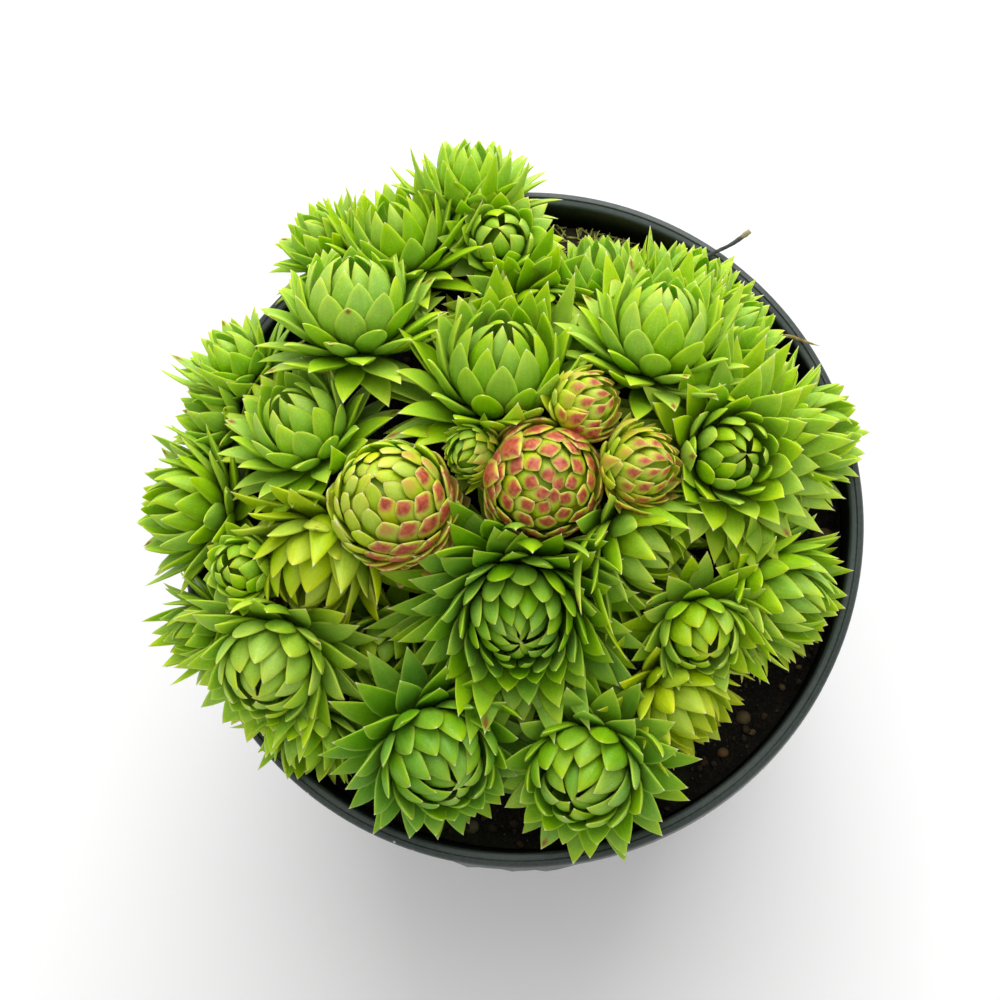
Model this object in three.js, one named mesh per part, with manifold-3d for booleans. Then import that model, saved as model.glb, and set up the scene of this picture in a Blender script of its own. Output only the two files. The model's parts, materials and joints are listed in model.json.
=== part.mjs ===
// A houseleek clump in a round nursery pot: a moulded pot, its soil, and many
// fleshy rosettes crowded into a dome that swells past the rim.
// Millimetres, +Z up, origin at the centre of the pot's flat underside,
// +Y towards the side of the clump that leans back over the rim.

import * as THREE from "three";
import { mergeVertices } from "three/addons/utils/BufferGeometryUtils.js";
import Module from "manifold-3d";

const wasm = await Module();
wasm.setup();

// Pot
const RIM_RADIUS = 65;
const POT_HEIGHT = 112;
const BASE_RADIUS = 46;
const WALL = 1.6;
const FLOOR = 1.8;
const LIP_HEIGHT = 10;
const LIP_PROUD = 1.2;
const LIP_ROUND = 0.8;
const LIP_EASE = 0.3;
const FOOT_ROUND = 1.5;
const POT_SIDES = 48;
const DRAIN_COUNT = 8;
const DRAIN_RADIUS = 4;
const DRAIN_CIRCLE = 35;
const DRAIN_SIDES = 8;

// Soil
const CLEARANCE = 0.3;
const SOIL_EDGE_BELOW_RIM = 13;
const SOIL_MOUND = 19;
const SOIL_SLOPE = 1.4;
const SOIL_BUMP = 0.7;
const SOIL_RINGS = 6;
const SOIL_SIDES = 24;
const SOIL_SEED = 11;
const STEM_DEPTH = 9;
const STEM_DEPTH_STEP = 0.1;

// Stems run from each rosette towards one point deep in the pot, as the
// clump has spread outwards from its first plant.
const STEM_FOCUS = new THREE.Vector3(-3, 2, 42);
const STEM_RADIUS = 1.6;
const STEM_SIDES = 5;

// Each rosette's core is two cones base to base, as shares of its core radius,
// and the upper one reaches to a share of the body radius.
const CORE_SHARE = 0.6;
const CORE_SIDES = 6;
const CORE_WAIST = 0.8;
const CORE_WAIST_AT = -0.2;
const CORE_FOOT_AT = -0.9;
const CORE_TOP_AT = 0.62;

// Leaves: their thickness and the limits of their width are lengths, angles are
// in radians, and the rest are shares of what they follow.
const GOLDEN_ANGLE = THREE.MathUtils.degToRad(137.508);
const LEAF_SEED = 100;
const LEAF_THICKNESS = 1.7;
const LEAF_FACE_SHARE = 0.35;
const LEAF_WIDTH_LEAST = 3.0;
const LEAF_WIDTH_MOST = 9.0;
const YOUNG_UNTIL = 0.4;
const BELLY_AT = 0.55;
const BELLY_TANGENT_STEP = 0.05;
const ROOT_AT = 0.3;
const SWELL = 1.8;
const FLARE = 1.8;
const ANGLE_MOST = 2.75;
const SWAY = 0.1;
const STRETCH = 0.08;
const STRAIGHT_SOON = 1.6;
const HORIZON = 0.12;

// Room that the leaves keep round themselves, and round the rim of the pot.
const LEAF_GAP = 0.25;
const RIM_MARGIN = 1.2;

// How a rosette of each form grows. tipYoung and tipOld are how far the youngest
// and the oldest leaf tips lie over from the rosette's own axis, and root is how
// far behind its tip a leaf springs from the core, in degrees. opening is how soon
// the tips leave the heart. heart is how far the youngest tips reach, as a share
// of the body, and hold is how long the tips stay at the body before they spread.
// width is a leaf's width as a share of the body, and slim that of the youngest
// leaf as a share of a grown one's. rise is how much of its droop a leaf takes
// back where its tip would point below the horizon. straight is how soon a grown
// leaf has turned outwards, so that the rest of it points away from the middle.
const FORMS = {
  globe: {
    tipYoung: 2, tipOld: 106, root: 76, opening: 0.82, heart: 1.04, hold: 1.4,
    width: 0.72, slim: 0.8, rise: 0.5, straight: 2.4,
  },
  crown: {
    tipYoung: 3, tipOld: 106, root: 72, opening: 0.8, heart: 1.17, hold: 1.05,
    width: 0.72, slim: 0.75, rise: 0.55, straight: 2.4,
  },
  open: {
    tipYoung: 3, tipOld: 106, root: 70, opening: 0.76, heart: 0.94, hold: 0.95,
    width: 0.62, slim: 0.6, rise: 0.6, straight: 2.6,
  },
  fan: {
    tipYoung: 3, tipOld: 104, root: 62, opening: 0.7, heart: 1.3, hold: 1,
    width: 0.74, slim: 0.72, rise: 0.45, straight: 2.2,
  },
  button: {
    tipYoung: 2, tipOld: 122, root: 52, opening: 0.68, heart: 1, hold: 2.4,
    width: 0.66, slim: 0.6, rise: 0, straight: 1,
  },
};

// Every rosette: its name, the place of its middle (x, y and height above the
// rim), the radius of its closed body and of its spread leaf tips, its lean from
// upright and the compass of that lean (degrees, from +X towards +Y), its form,
// and how many leaves stand out of it here.
const ROSETTES = [
  ["rosette_01_back_rim", -8.6, 62.2, 8, 7.6, 17.4, 65, 86, "fan", 19],
  ["rosette_02_back_left_open", -20.9, 49.6, 13, 8.6, 21.5, 52, 104, "fan", 24],
  ["rosette_03_back_left_rim", -35.9, 51.7, 9, 6, 15, 51, 137, "fan", 14],
  ["rosette_04_back_left_globe", -28.7, 33.6, 23, 11.2, 19.6, 55, 90, "crown", 24],
  ["rosette_05_back_small", -2.6, 51, 14.5, 6.8, 12.7, 9, 54, "globe", 17],
  ["rosette_06_back_dark", 3.4, 36.6, 12.5, 8, 18.2, 48, -53, "open", 17],
  ["rosette_07_back_right_small", 15.9, 43.8, 9, 6.6, 14.8, 59, 93, "fan", 15],
  ["rosette_08_back_right_wide", 31.6, 40.4, 9, 7.6, 16.2, 60, 58, "fan", 20],
  ["rosette_09_back_centre", -1.9, 21.9, 23, 12.2, 24.4, 40, 81, "crown", 27],
  ["rosette_10_right_back_globe", 26.5, 28.5, 22, 11, 20.2, 52, 75, "crown", 24],
  ["rosette_11_right_back_rim", 39.4, 32, 11.5, 7.2, 15, 62, 37, "fan", 18],
  ["rosette_12_right_open", 38.8, 9, 20, 10.2, 24, 24, -21, "crown", 27],
  ["rosette_13_right_rim", 52.6, 14.4, 9, 8.4, 16.4, 72, 6, "fan", 20],
  ["rosette_14_right_front_rim", 46.4, -13.8, 8.5, 9.6, 19.4, 72, -27, "fan", 22],
  ["rosette_15_right_front_small", 33.5, -21.6, 15, 8.2, 16.8, 48, -71, "globe", 18],
  ["rosette_16_front_right_yellow", 28.2, -33, 7, 8.4, 17.6, 81, -44, "fan", 18],
  ["rosette_17_front_right", 13.2, -46.4, 9, 11.4, 20.4, 37, -110, "globe", 25],
  ["rosette_18_front_left", -15.1, -42.8, 12, 12, 21, 50, -57, "globe", 25],
  ["rosette_19_left_front_globe", -43.9, -26.5, 15, 10.8, 20.2, 49, -105, "globe", 24],
  ["rosette_20_left_front_under", -38.6, -38.7, 4, 6.8, 16, 78, -101, "fan", 15],
  ["rosette_21_left_front_rim", -58, -19.8, 5, 6, 14.8, 67, -154, "fan", 14],
  ["rosette_22_left_small", -48.8, -11, 20, 6.2, 9.6, 22, -168, "globe", 13],
  ["rosette_23_left_rim", -58.6, 1.8, 9, 9, 18.6, 63, -178, "fan", 22],
  ["rosette_24_left_back_rim", -52, 28.6, 9, 6.4, 16, 56, 131, "fan", 15],
  ["rosette_25_left_back_low", -55.3, 19, 8, 6, 15.3, 58, 155, "fan", 15],
  ["rosette_26_left_globe", -37.6, 13.2, 21, 9.6, 19.6, 40, 122, "crown", 23],
  ["rosette_27_left_yellow", -35.2, -7.2, 20, 10.2, 19.6, 72, -104, "crown", 23],
  ["rosette_28_red_left", -20.5, -0.6, 31, 11, 12.6, 22, 129, "button", 30],
  ["rosette_29_red_centre", 6.5, 2.9, 31, 10.6, 12.2, 24, -55, "button", 30],
  ["rosette_30_red_small", 13.8, 16, 33, 6.2, 7.6, 58, 10, "button", 16],
  ["rosette_31_red_right", 23.6, 5.5, 30, 6.8, 9.8, 52, -4, "button", 17],
  ["rosette_32_small_bud", -5.9, 7.9, 32.5, 4.6, 7.2, 46, -136, "button", 11],
  ["rosette_33_front_largest", 1.2, -17.7, 18, 13.6, 29, 38, -83, "open", 41],
  ["rosette_34_right_of_largest", 20.9, -5.9, 21.5, 8.4, 22.6, 77, -34, "fan", 19],
  ["rosette_35_deep_left", -25, -23.6, 6.5, 7, 16.2, 43, -85, "globe", 14],
  ["rosette_36_deep_right", 19.2, -30.8, 4, 4.5, 10.5, 44, -61, "globe", 10],
];

// Dry scraps that stand in the gap between the clump and the rim and lean over
// the rim, by points chosen by hand along their length.
const SCRAP_STEPS = 10;
const SCRAP_SECTION_CURVES = 3;
const STALK_RADIUS = 0.55;
const STALK_POINTS = [
  [30.2, 46.6, 102.4],
  [32.6, 48.2, 107.5],
  [34.6, 49.8, 111.9],
  [37.0, 51.4, 113.1],
  [40.8, 53.2, 113.2],
  [44.4, 55.4, 114.6],
];
const STRAW_RADIUS = 0.4;
const STRAW_POINTS = [
  [46.5, 33.5, 102.0],
  [48.0, 34.6, 107.0],
  [49.8, 35.2, 111.9],
  [51.9, 35.0, 112.9],
  [54.6, 34.0, 112.9],
  [57.2, 33.0, 113.4],
];

// A pebble is a squashed stone sunk in the soil: radius, x and y.
const PEBBLE_SCALE = [1, 0.85, 0.7];
const PEBBLE_LIFT = 0.1;
const PEBBLES = [
  [2.1, 57.8, -1.8],
  [1.6, 42, -36.4],
  [1.2, 38, -43],
  [1.5, 19.6, 55],
  [1.6, 26.4, 52],
  [1.5, -10, -57],
  [1.6, -41, 40],
  [1.4, 52, 26],
];

const LEAF_GREEN = { color: 0x86b32b, roughness: 0.45, metalness: 0 };
const PALE_GREEN = { color: 0xa3c456, roughness: 0.45, metalness: 0 };
const YELLOW_GREEN = { color: 0xa9bf26, roughness: 0.45, metalness: 0 };
const RED_FLUSH = { color: 0xb07a45, roughness: 0.5, metalness: 0 };
const POT_PLASTIC = { color: 0x2c3431, roughness: 0.42, metalness: 0 };
const SOIL_BROWN = { color: 0x1d1712, roughness: 0.95, metalness: 0 };
const DRY_BROWN = { color: 0x4b4334, roughness: 0.85, metalness: 0 };
const DRY_STRAW = { color: 0x9a8a4e, roughness: 0.8, metalness: 0 };

// Seeded draws, so the clump is the same each time.
function seededDraws(seed) {
  let state = seed >>> 0;
  return () => {
    state = (state + 0x6d2b79f5) >>> 0;
    let mixed = Math.imul(state ^ (state >>> 15), state | 1);
    mixed ^= mixed + Math.imul(mixed ^ (mixed >>> 7), mixed | 61);
    return ((mixed ^ (mixed >>> 14)) >>> 0) / 4294967296;
  };
}

// Geometry and solids
function toSolid(geometry) {
  const bare = geometry.clone();
  bare.deleteAttribute("normal");
  bare.deleteAttribute("uv");
  const welded = mergeVertices(bare, 1e-4);
  return new wasm.Manifold(new wasm.Mesh({
    numProp: 3,
    vertProperties: Float32Array.from(welded.attributes.position.array),
    triVerts: Uint32Array.from(welded.index.array),
  }));
}

function toGeometry(solid) {
  const mesh = solid.getMesh();
  const geometry = new THREE.BufferGeometry();
  geometry.setAttribute("position", new THREE.BufferAttribute(mesh.vertProperties, 3));
  geometry.setIndex(new THREE.BufferAttribute(mesh.triVerts, 1));
  return geometry;
}

function facets(points, triangles) {
  const geometry = new THREE.BufferGeometry();
  const flat = points.flatMap((point) => [point.x, point.y, point.z]);
  geometry.setAttribute("position", new THREE.Float32BufferAttribute(flat, 3));
  geometry.setIndex(triangles.flat());
  return geometry;
}

// A lathe turned about +Z, from a profile of [radius, height] points.
function lathe(profile, sides) {
  const geometry = new THREE.LatheGeometry(
    profile.map(([radius, height]) => new THREE.Vector2(radius, height)),
    sides,
  );
  return geometry.rotateX(Math.PI / 2);
}

// Turns a shape built along +Z so that it stands along a direction, at a place.
function stand(geometry, place, direction) {
  const turn = new THREE.Quaternion().setFromUnitVectors(
    new THREE.Vector3(0, 0, 1),
    direction.clone().normalize(),
  );
  return geometry.applyQuaternion(turn).translate(place.x, place.y, place.z);
}

function named(name, geometry, finish) {
  const mesh = new THREE.Mesh(geometry, new THREE.MeshStandardMaterial(finish));
  mesh.name = name;
  return mesh;
}

// Pot: a tapered moulded wall with a proud lip band, and drainage holes in a
// ring round the flat floor.
const LIP_INNER = RIM_RADIUS - LIP_PROUD - WALL;
const LIP_BOTTOM = POT_HEIGHT - LIP_HEIGHT;

function bodyOuterRadius(height) {
  const share = height / LIP_BOTTOM;
  return BASE_RADIUS + (RIM_RADIUS - LIP_PROUD - BASE_RADIUS) * share;
}

function innerRadius(height) {
  return Math.min(bodyOuterRadius(height) - WALL, LIP_INNER);
}

function makePot() {
  const profile = [
    [0, 0],
    [BASE_RADIUS - FOOT_ROUND, 0],
    [bodyOuterRadius(FOOT_ROUND), FOOT_ROUND],
    [bodyOuterRadius(LIP_BOTTOM), LIP_BOTTOM],
    [RIM_RADIUS - LIP_EASE, LIP_BOTTOM],
    [RIM_RADIUS, LIP_BOTTOM + LIP_ROUND],
    [RIM_RADIUS, POT_HEIGHT - LIP_ROUND],
    [RIM_RADIUS - LIP_ROUND, POT_HEIGHT],
    [LIP_INNER + LIP_EASE, POT_HEIGHT],
    [LIP_INNER, POT_HEIGHT - LIP_ROUND],
    [innerRadius(LIP_BOTTOM), LIP_BOTTOM],
    [innerRadius(FLOOR), FLOOR],
    [0, FLOOR],
  ];
  let pot = toSolid(lathe(profile, POT_SIDES));
  for (let i = 0; i < DRAIN_COUNT; i += 1) {
    const angle = (i * 2 * Math.PI) / DRAIN_COUNT;
    const depth = 3 * FLOOR;
    const hole = new THREE.CylinderGeometry(DRAIN_RADIUS, DRAIN_RADIUS, depth, DRAIN_SIDES);
    hole.rotateX(Math.PI / 2);
    hole.translate(DRAIN_CIRCLE * Math.cos(angle), DRAIN_CIRCLE * Math.sin(angle), FLOOR / 2);
    pot = pot.subtract(toSolid(hole));
  }
  return named("pot", toGeometry(pot), POT_PLASTIC);
}

// Soil: a plug that fills the pot and mounds up under the clump.
const SOIL_EDGE = POT_HEIGHT - SOIL_EDGE_BELOW_RIM;
const SOIL_RADIUS = innerRadius(SOIL_EDGE) * Math.cos(Math.PI / POT_SIDES) - CLEARANCE;

function soilHeight(radius) {
  const share = Math.min(radius / SOIL_RADIUS, 1);
  return SOIL_EDGE + SOIL_MOUND * Math.pow(1 - share * share, SOIL_SLOPE);
}

function soilTop(ring, side, draw) {
  const radius = (SOIL_RADIUS * ring) / SOIL_RINGS;
  const angle = ((side + 0.5 * (ring % 2)) * 2 * Math.PI) / SOIL_SIDES;
  const bump = ring < SOIL_RINGS ? SOIL_BUMP * (2 * draw() - 1) : 0;
  return new THREE.Vector3(
    radius * Math.cos(angle),
    radius * Math.sin(angle),
    soilHeight(radius) + bump,
  );
}

function soilBody() {
  const draw = seededDraws(SOIL_SEED);
  const points = [new THREE.Vector3(0, 0, soilHeight(0))];
  for (let ring = 1; ring <= SOIL_RINGS; ring += 1) {
    for (let side = 0; side < SOIL_SIDES; side += 1) {
      points.push(soilTop(ring, side, draw));
    }
  }
  const footRadius = innerRadius(FLOOR) * Math.cos(Math.PI / POT_SIDES) - CLEARANCE;
  const spread = (SOIL_RINGS % 2) * 0.5;
  for (let side = 0; side < SOIL_SIDES; side += 1) {
    const angle = ((side + spread) * 2 * Math.PI) / SOIL_SIDES;
    points.push(new THREE.Vector3(
      footRadius * Math.cos(angle),
      footRadius * Math.sin(angle),
      FLOOR,
    ));
  }
  const foot = points.length;
  points.push(new THREE.Vector3(0, 0, FLOOR));
  const at = (ring, side) => 1 + (ring - 1) * SOIL_SIDES + (side % SOIL_SIDES);
  const triangles = [];
  for (let side = 0; side < SOIL_SIDES; side += 1) {
    triangles.push([0, at(1, side), at(1, side + 1)]);
    for (let ring = 1; ring < SOIL_RINGS; ring += 1) {
      const near = [at(ring, side), at(ring, side + 1)];
      const far = [at(ring + 1, side), at(ring + 1, side + 1)];
      if (ring % 2) {
        triangles.push([near[0], far[1], near[1]], [near[0], far[0], far[1]]);
      } else {
        triangles.push([near[0], far[0], near[1]], [near[1], far[0], far[1]]);
      }
    }
    const wall = [at(SOIL_RINGS, side), at(SOIL_RINGS, side + 1)];
    const base = [at(SOIL_RINGS + 1, side), at(SOIL_RINGS + 1, side + 1)];
    triangles.push([wall[0], base[0], wall[1]], [wall[1], base[0], base[1]]);
    triangles.push([base[1], base[0], foot]);
  }
  return facets(points, triangles);
}

function pebble([radius, x, y]) {
  const stone = new THREE.IcosahedronGeometry(radius, 0);
  stone.rotateX(x).rotateZ(y);
  stone.scale(...PEBBLE_SCALE);
  const height = soilHeight(Math.hypot(x, y)) + PEBBLE_LIFT * radius;
  return toSolid(stone.translate(x, y, height));
}

// Rosettes
function rosetteFrom([name, x, y, above, body, spread, lean, compass, form, leaves], index) {
  const tilt = THREE.MathUtils.degToRad(lean);
  const turn = THREE.MathUtils.degToRad(compass);
  const axis = new THREE.Vector3(
    Math.sin(tilt) * Math.cos(turn),
    Math.sin(tilt) * Math.sin(turn),
    Math.cos(tilt),
  );
  const across = new THREE.Vector3(-Math.sin(turn), Math.cos(turn), 0);
  const along = new THREE.Vector3().crossVectors(across, axis);
  const middle = new THREE.Vector3(x, y, POT_HEIGHT + above);
  const towardsFocus = STEM_FOCUS.clone().sub(middle).normalize();
  return {
    name, middle, axis, across, along, body, spread, leaves, index,
    form: FORMS[form],
    towardsFocus,
    stemFoot: stemFoot(middle, towardsFocus),
    core: body * CORE_SHARE,
  };
}

// The point on a stem's line that lies STEM_DEPTH under the soil's surface.
function stemFoot(middle, direction) {
  const point = middle.clone();
  while (point.z > soilHeight(Math.hypot(point.x, point.y)) - STEM_DEPTH) {
    point.addScaledVector(direction, STEM_DEPTH_STEP);
  }
  return point;
}

// A direction at an angle from the rosette's axis, at a turn about it.
function bearing(rosette, angle, turn) {
  const outward = rosette.along.clone().multiplyScalar(Math.cos(turn));
  outward.addScaledVector(rosette.across, Math.sin(turn));
  return outward.multiplyScalar(Math.sin(angle)).addScaledVector(rosette.axis, Math.cos(angle));
}

// A tip's angle from the axis, less where the tip would point below the horizon.
function risen(rosette, opened, turn) {
  const outward = bearing(rosette, Math.PI / 2, turn).z;
  const upright = rosette.axis.z;
  const steepest = Math.hypot(outward, upright);
  const level = Math.acos(Math.max(-1, -HORIZON / steepest)) - Math.atan2(-outward, upright);
  return opened - rosette.form.rise * Math.max(0, opened - level);
}

// A place on a leaf's spine, at a share of its length. Seen from the rosette's
// middle the spine swings from the root's angle to the tip's while it swells out
// to the body and then flares to the leaf's reach. Age runs from 0 at the heart
// to 1. A bend folds the leaf in towards the axis, twists it round the axis and
// shrinks it.
function onSpine(rosette, leaf, bend, share) {
  const { form, body, spread } = rosette;
  const { lerp, degToRad } = THREE.MathUtils;
  const along = share * bend.shrink;
  const freely = degToRad(lerp(form.tipYoung, form.tipOld, leaf.age ** form.opening));
  const opened = risen(rosette, freely, leaf.turn) + leaf.sway;
  const folded = bend.fold * opened * along;
  const grown = leaf.age ** form.hold;
  const straight = lerp(1, form.straight, Math.min(1, STRAIGHT_SOON * grown));
  const behind = degToRad(form.root) * (1 - along) ** straight;
  const angle = Math.min(opened + behind - folded, ANGLE_MOST);
  const reach = lerp(body * form.heart, spread, grown) * leaf.stretch;
  const held = Math.min(body, reach);
  const root = body * ROOT_AT;
  const swollen = (held - root) * (1 - (1 - along) ** SWELL);
  const radius = root + swollen + (reach - held) * along ** FLARE;
  const way = bearing(rosette, angle, leaf.turn + bend.twist);
  return way.multiplyScalar(radius).add(rosette.middle);
}

// A blade from its root to its tip, widest at its belly, with a flat face
// towards the axis and a keel on its back. extra grows it all round, for the
// clearance tests. Its corners are the root, the two edges, the keel, the tip.
function leafPoints(rosette, leaf, bend, extra) {
  const side = bearing(rosette, Math.PI / 2, leaf.turn + bend.twist + Math.PI / 2);
  const belly = onSpine(rosette, leaf, bend, BELLY_AT);
  const ahead = onSpine(rosette, leaf, bend, BELLY_AT + BELLY_TANGENT_STEP);
  const back = new THREE.Vector3().crossVectors(side, ahead.sub(belly).normalize());
  const half = leaf.width / 2 + extra;
  const faceDepth = LEAF_FACE_SHARE * LEAF_THICKNESS;
  const face = belly.clone().addScaledVector(back, -faceDepth - extra);
  const tip = onSpine(rosette, leaf, bend, 1);
  const onward = tip.clone().sub(belly).normalize();
  return [
    onSpine(rosette, leaf, bend, 0),
    face.clone().addScaledVector(side, half),
    face.clone().addScaledVector(side, -half),
    belly.addScaledVector(back, LEAF_THICKNESS - faceDepth + extra),
    tip.addScaledVector(onward, 2 * extra),
  ];
}

const LEAF_FACETS = [[0, 2, 1], [0, 3, 2], [0, 1, 3], [4, 1, 2], [4, 2, 3], [4, 3, 1]];

function leafSolid(points) {
  return toSolid(facets(points, LEAF_FACETS));
}

// Places along a leaf's edges, for the clearance tests.
function leafProbes(points) {
  const probes = points.slice(1);
  for (const corner of [1, 2, 3]) {
    for (const share of [0.25, 0.5, 0.75]) {
      probes.push(points[corner].clone().lerp(points[4], share));
      probes.push(points[corner].clone().lerp(points[0], share));
    }
  }
  return probes;
}

function clearOfPot(probe) {
  const radius = Math.hypot(probe.x, probe.y);
  if (radius > LIP_INNER - RIM_MARGIN) {
    return probe.z > POT_HEIGHT + CLEARANCE;
  }
  return probe.z > soilHeight(radius) + SOIL_BUMP + CLEARANCE;
}

// All that stands so far, each piece with its box and the rosette it is part of.
const standing = [];

function addStanding(solid, owner) {
  const { min, max } = solid.boundingBox();
  standing.push({ solid, owner, min, max });
}

function boxesMeet(one, two) {
  return [0, 1, 2].every((k) => one.min[k] < two.max[k] && two.min[k] < one.max[k]);
}

function hasRoom(solid, owner) {
  const box = solid.boundingBox();
  return standing.every((piece) => piece.owner === owner
    || !boxesMeet(box, piece)
    || solid.intersect(piece.solid).isEmpty());
}

// Ways to bend a leaf clear of what stands round it, the least change first.
function bends() {
  const list = [];
  for (const shrink of [1, 0.9, 0.8, 0.7, 0.6]) {
    for (const fold of [0, 0.1, 0.2, -0.1, 0.3, 0.4]) {
      for (const twist of [0, 0.14, -0.14]) {
        list.push({ shrink, fold, twist });
      }
    }
  }
  return list;
}

// The leaf as it grows where it has room, or null where it finds none.
function fitLeaf(rosette, leaf) {
  for (const bend of bends()) {
    const wide = leafPoints(rosette, leaf, bend, LEAF_GAP);
    if (leafProbes(wide).every(clearOfPot) && hasRoom(leafSolid(wide), rosette.name)) {
      return leafSolid(leafPoints(rosette, leaf, bend, 0));
    }
  }
  return null;
}

function coreGeometry(rosette) {
  const { core, body, middle, axis } = rosette;
  const profile = [
    [0, CORE_FOOT_AT * core],
    [CORE_WAIST * core, CORE_WAIST_AT * core],
    [0, CORE_TOP_AT * body],
  ];
  return stand(lathe(profile, CORE_SIDES), middle, axis);
}

function stemGeometry(rosette, extra, deeper) {
  const foot = rosette.stemFoot.clone().addScaledVector(rosette.towardsFocus, deeper);
  const length = foot.distanceTo(rosette.middle);
  const radius = STEM_RADIUS + extra;
  const stem = new THREE.CylinderGeometry(radius, radius, length, STEM_SIDES);
  stem.rotateX(Math.PI / 2);
  const centre = foot.clone().lerp(rosette.middle, 0.5);
  return stand(stem, centre, rosette.towardsFocus);
}

function drawLeaves(rosette) {
  const draw = seededDraws(LEAF_SEED + rosette.index);
  const width = THREE.MathUtils.clamp(
    rosette.form.width * rosette.body,
    LEAF_WIDTH_LEAST,
    LEAF_WIDTH_MOST,
  );
  const start = 2 * Math.PI * draw();
  const leaves = [];
  for (let i = 0; i < rosette.leaves; i += 1) {
    const age = (i + 0.5) / rosette.leaves;
    leaves.push({
      rosette,
      age,
      turn: start + i * GOLDEN_ANGLE,
      sway: SWAY * (draw() - 0.5),
      stretch: 1 + STRETCH * (draw() - 0.5),
      width: width * THREE.MathUtils.lerp(rosette.form.slim, 1, Math.min(1, age / YOUNG_UNTIL)),
    });
  }
  return leaves;
}

// The rosettes grow together: every heart first, and the oldest, widest leaves
// last, each where there is room.
function growRosettes(rosettes) {
  const solids = new Map();
  for (const rosette of rosettes) {
    const core = toSolid(coreGeometry(rosette));
    const stem = toSolid(stemGeometry(rosette, 0, 0));
    solids.set(rosette, core.add(stem));
    addStanding(core, rosette.name);
    addStanding(toSolid(stemGeometry(rosette, CLEARANCE, 0)), rosette.name);
  }
  const leaves = rosettes.flatMap(drawLeaves).sort((one, two) => one.age - two.age);
  for (const leaf of leaves) {
    const blade = fitLeaf(leaf.rosette, leaf);
    if (blade) {
      addStanding(blade, leaf.rosette.name);
      solids.set(leaf.rosette, solids.get(leaf.rosette).add(blade));
    }
  }
  return solids;
}

function rosetteMesh(rosette, solid) {
  const { name, middle } = rosette;
  const geometry = toGeometry(solid).translate(-middle.x, -middle.y, -middle.z);
  const mesh = named(name, geometry, finishOf(name));
  mesh.position.copy(middle);
  return mesh;
}

// Dry scraps
function makeScrap(name, places, radius, finish) {
  const path = new THREE.CatmullRomCurve3(places.map((place) => new THREE.Vector3(...place)));
  const section = new THREE.Shape();
  section.absarc(0, 0, radius, 0, 2 * Math.PI);
  const geometry = new THREE.ExtrudeGeometry(section, {
    steps: SCRAP_STEPS,
    extrudePath: path,
    curveSegments: SCRAP_SECTION_CURVES,
  });
  addStanding(toSolid(geometry), name);
  return named(name, geometry, finish);
}

const rosettes = ROSETTES.map(rosetteFrom);

function makeSoil() {
  let soil = toSolid(soilBody());
  for (const stone of PEBBLES) {
    soil = soil.add(pebble(stone));
  }
  for (const rosette of rosettes) {
    soil = soil.subtract(toSolid(stemGeometry(rosette, CLEARANCE, CLEARANCE)));
  }
  return named("soil", toGeometry(soil), SOIL_BROWN);
}

const RED_ONES = ["red"];
const YELLOW_ONES = ["yellow"];
const PALE_ONES = ["globe", "back_rim"];

function finishOf(name) {
  const has = (words) => words.some((word) => name.includes(word));
  if (has(RED_ONES)) {
    return RED_FLUSH;
  }
  if (has(YELLOW_ONES)) {
    return YELLOW_GREEN;
  }
  return has(PALE_ONES) ? PALE_GREEN : LEAF_GREEN;
}

const plant = new THREE.Group();
plant.add(makePot(), makeSoil());
plant.add(makeScrap("dry_stalk", STALK_POINTS, STALK_RADIUS, DRY_BROWN));
plant.add(makeScrap("dry_straw", STRAW_POINTS, STRAW_RADIUS, DRY_STRAW));
for (const [rosette, solid] of growRosettes(rosettes)) {
  plant.add(rosetteMesh(rosette, solid));
}

export default plant;
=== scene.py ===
# %% [markdown]
# # A potted houseleek
#
# A houseleek is a low, fleshy plant. One plant is a rosette of thick pointed
# leaves, and it sends out young ones on short stems until the pot is full and the
# clump swells over its rim. This lesson dresses the imported solids of such a clump:
# each rosette gets its real number of leaves, the pot gets its rolled rim, and the
# soil gets its crumbs, moss and grit.
#
# We begin by loading the solids, which stay where they are.

# %% Load the solids
import itertools
import json
import math
import random

import bmesh
import bpy
import numpy as np
from mathutils import Matrix, Vector, noise


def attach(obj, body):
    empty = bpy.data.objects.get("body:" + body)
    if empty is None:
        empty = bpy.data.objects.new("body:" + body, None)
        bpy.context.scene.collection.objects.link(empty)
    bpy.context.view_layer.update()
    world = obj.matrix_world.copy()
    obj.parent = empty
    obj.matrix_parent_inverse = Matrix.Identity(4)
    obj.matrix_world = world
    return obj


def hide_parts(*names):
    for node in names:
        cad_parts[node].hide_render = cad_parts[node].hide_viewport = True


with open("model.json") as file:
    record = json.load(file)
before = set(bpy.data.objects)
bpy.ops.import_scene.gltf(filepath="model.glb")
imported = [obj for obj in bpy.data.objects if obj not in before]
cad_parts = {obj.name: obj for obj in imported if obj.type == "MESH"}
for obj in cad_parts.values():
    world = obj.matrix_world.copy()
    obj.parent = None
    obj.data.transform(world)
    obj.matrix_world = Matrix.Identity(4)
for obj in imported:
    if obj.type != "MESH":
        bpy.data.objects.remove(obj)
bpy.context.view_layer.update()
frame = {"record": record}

# %% [markdown]
# ## The camera
#
# The plant is seen from almost straight above, from a little towards its front and
# its right. We place the camera half a metre from the middle of the pot's rim, as a
# long lens would be, and aim it slightly left of that middle and behind it, because
# that is where the middle of the picture falls.

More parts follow.
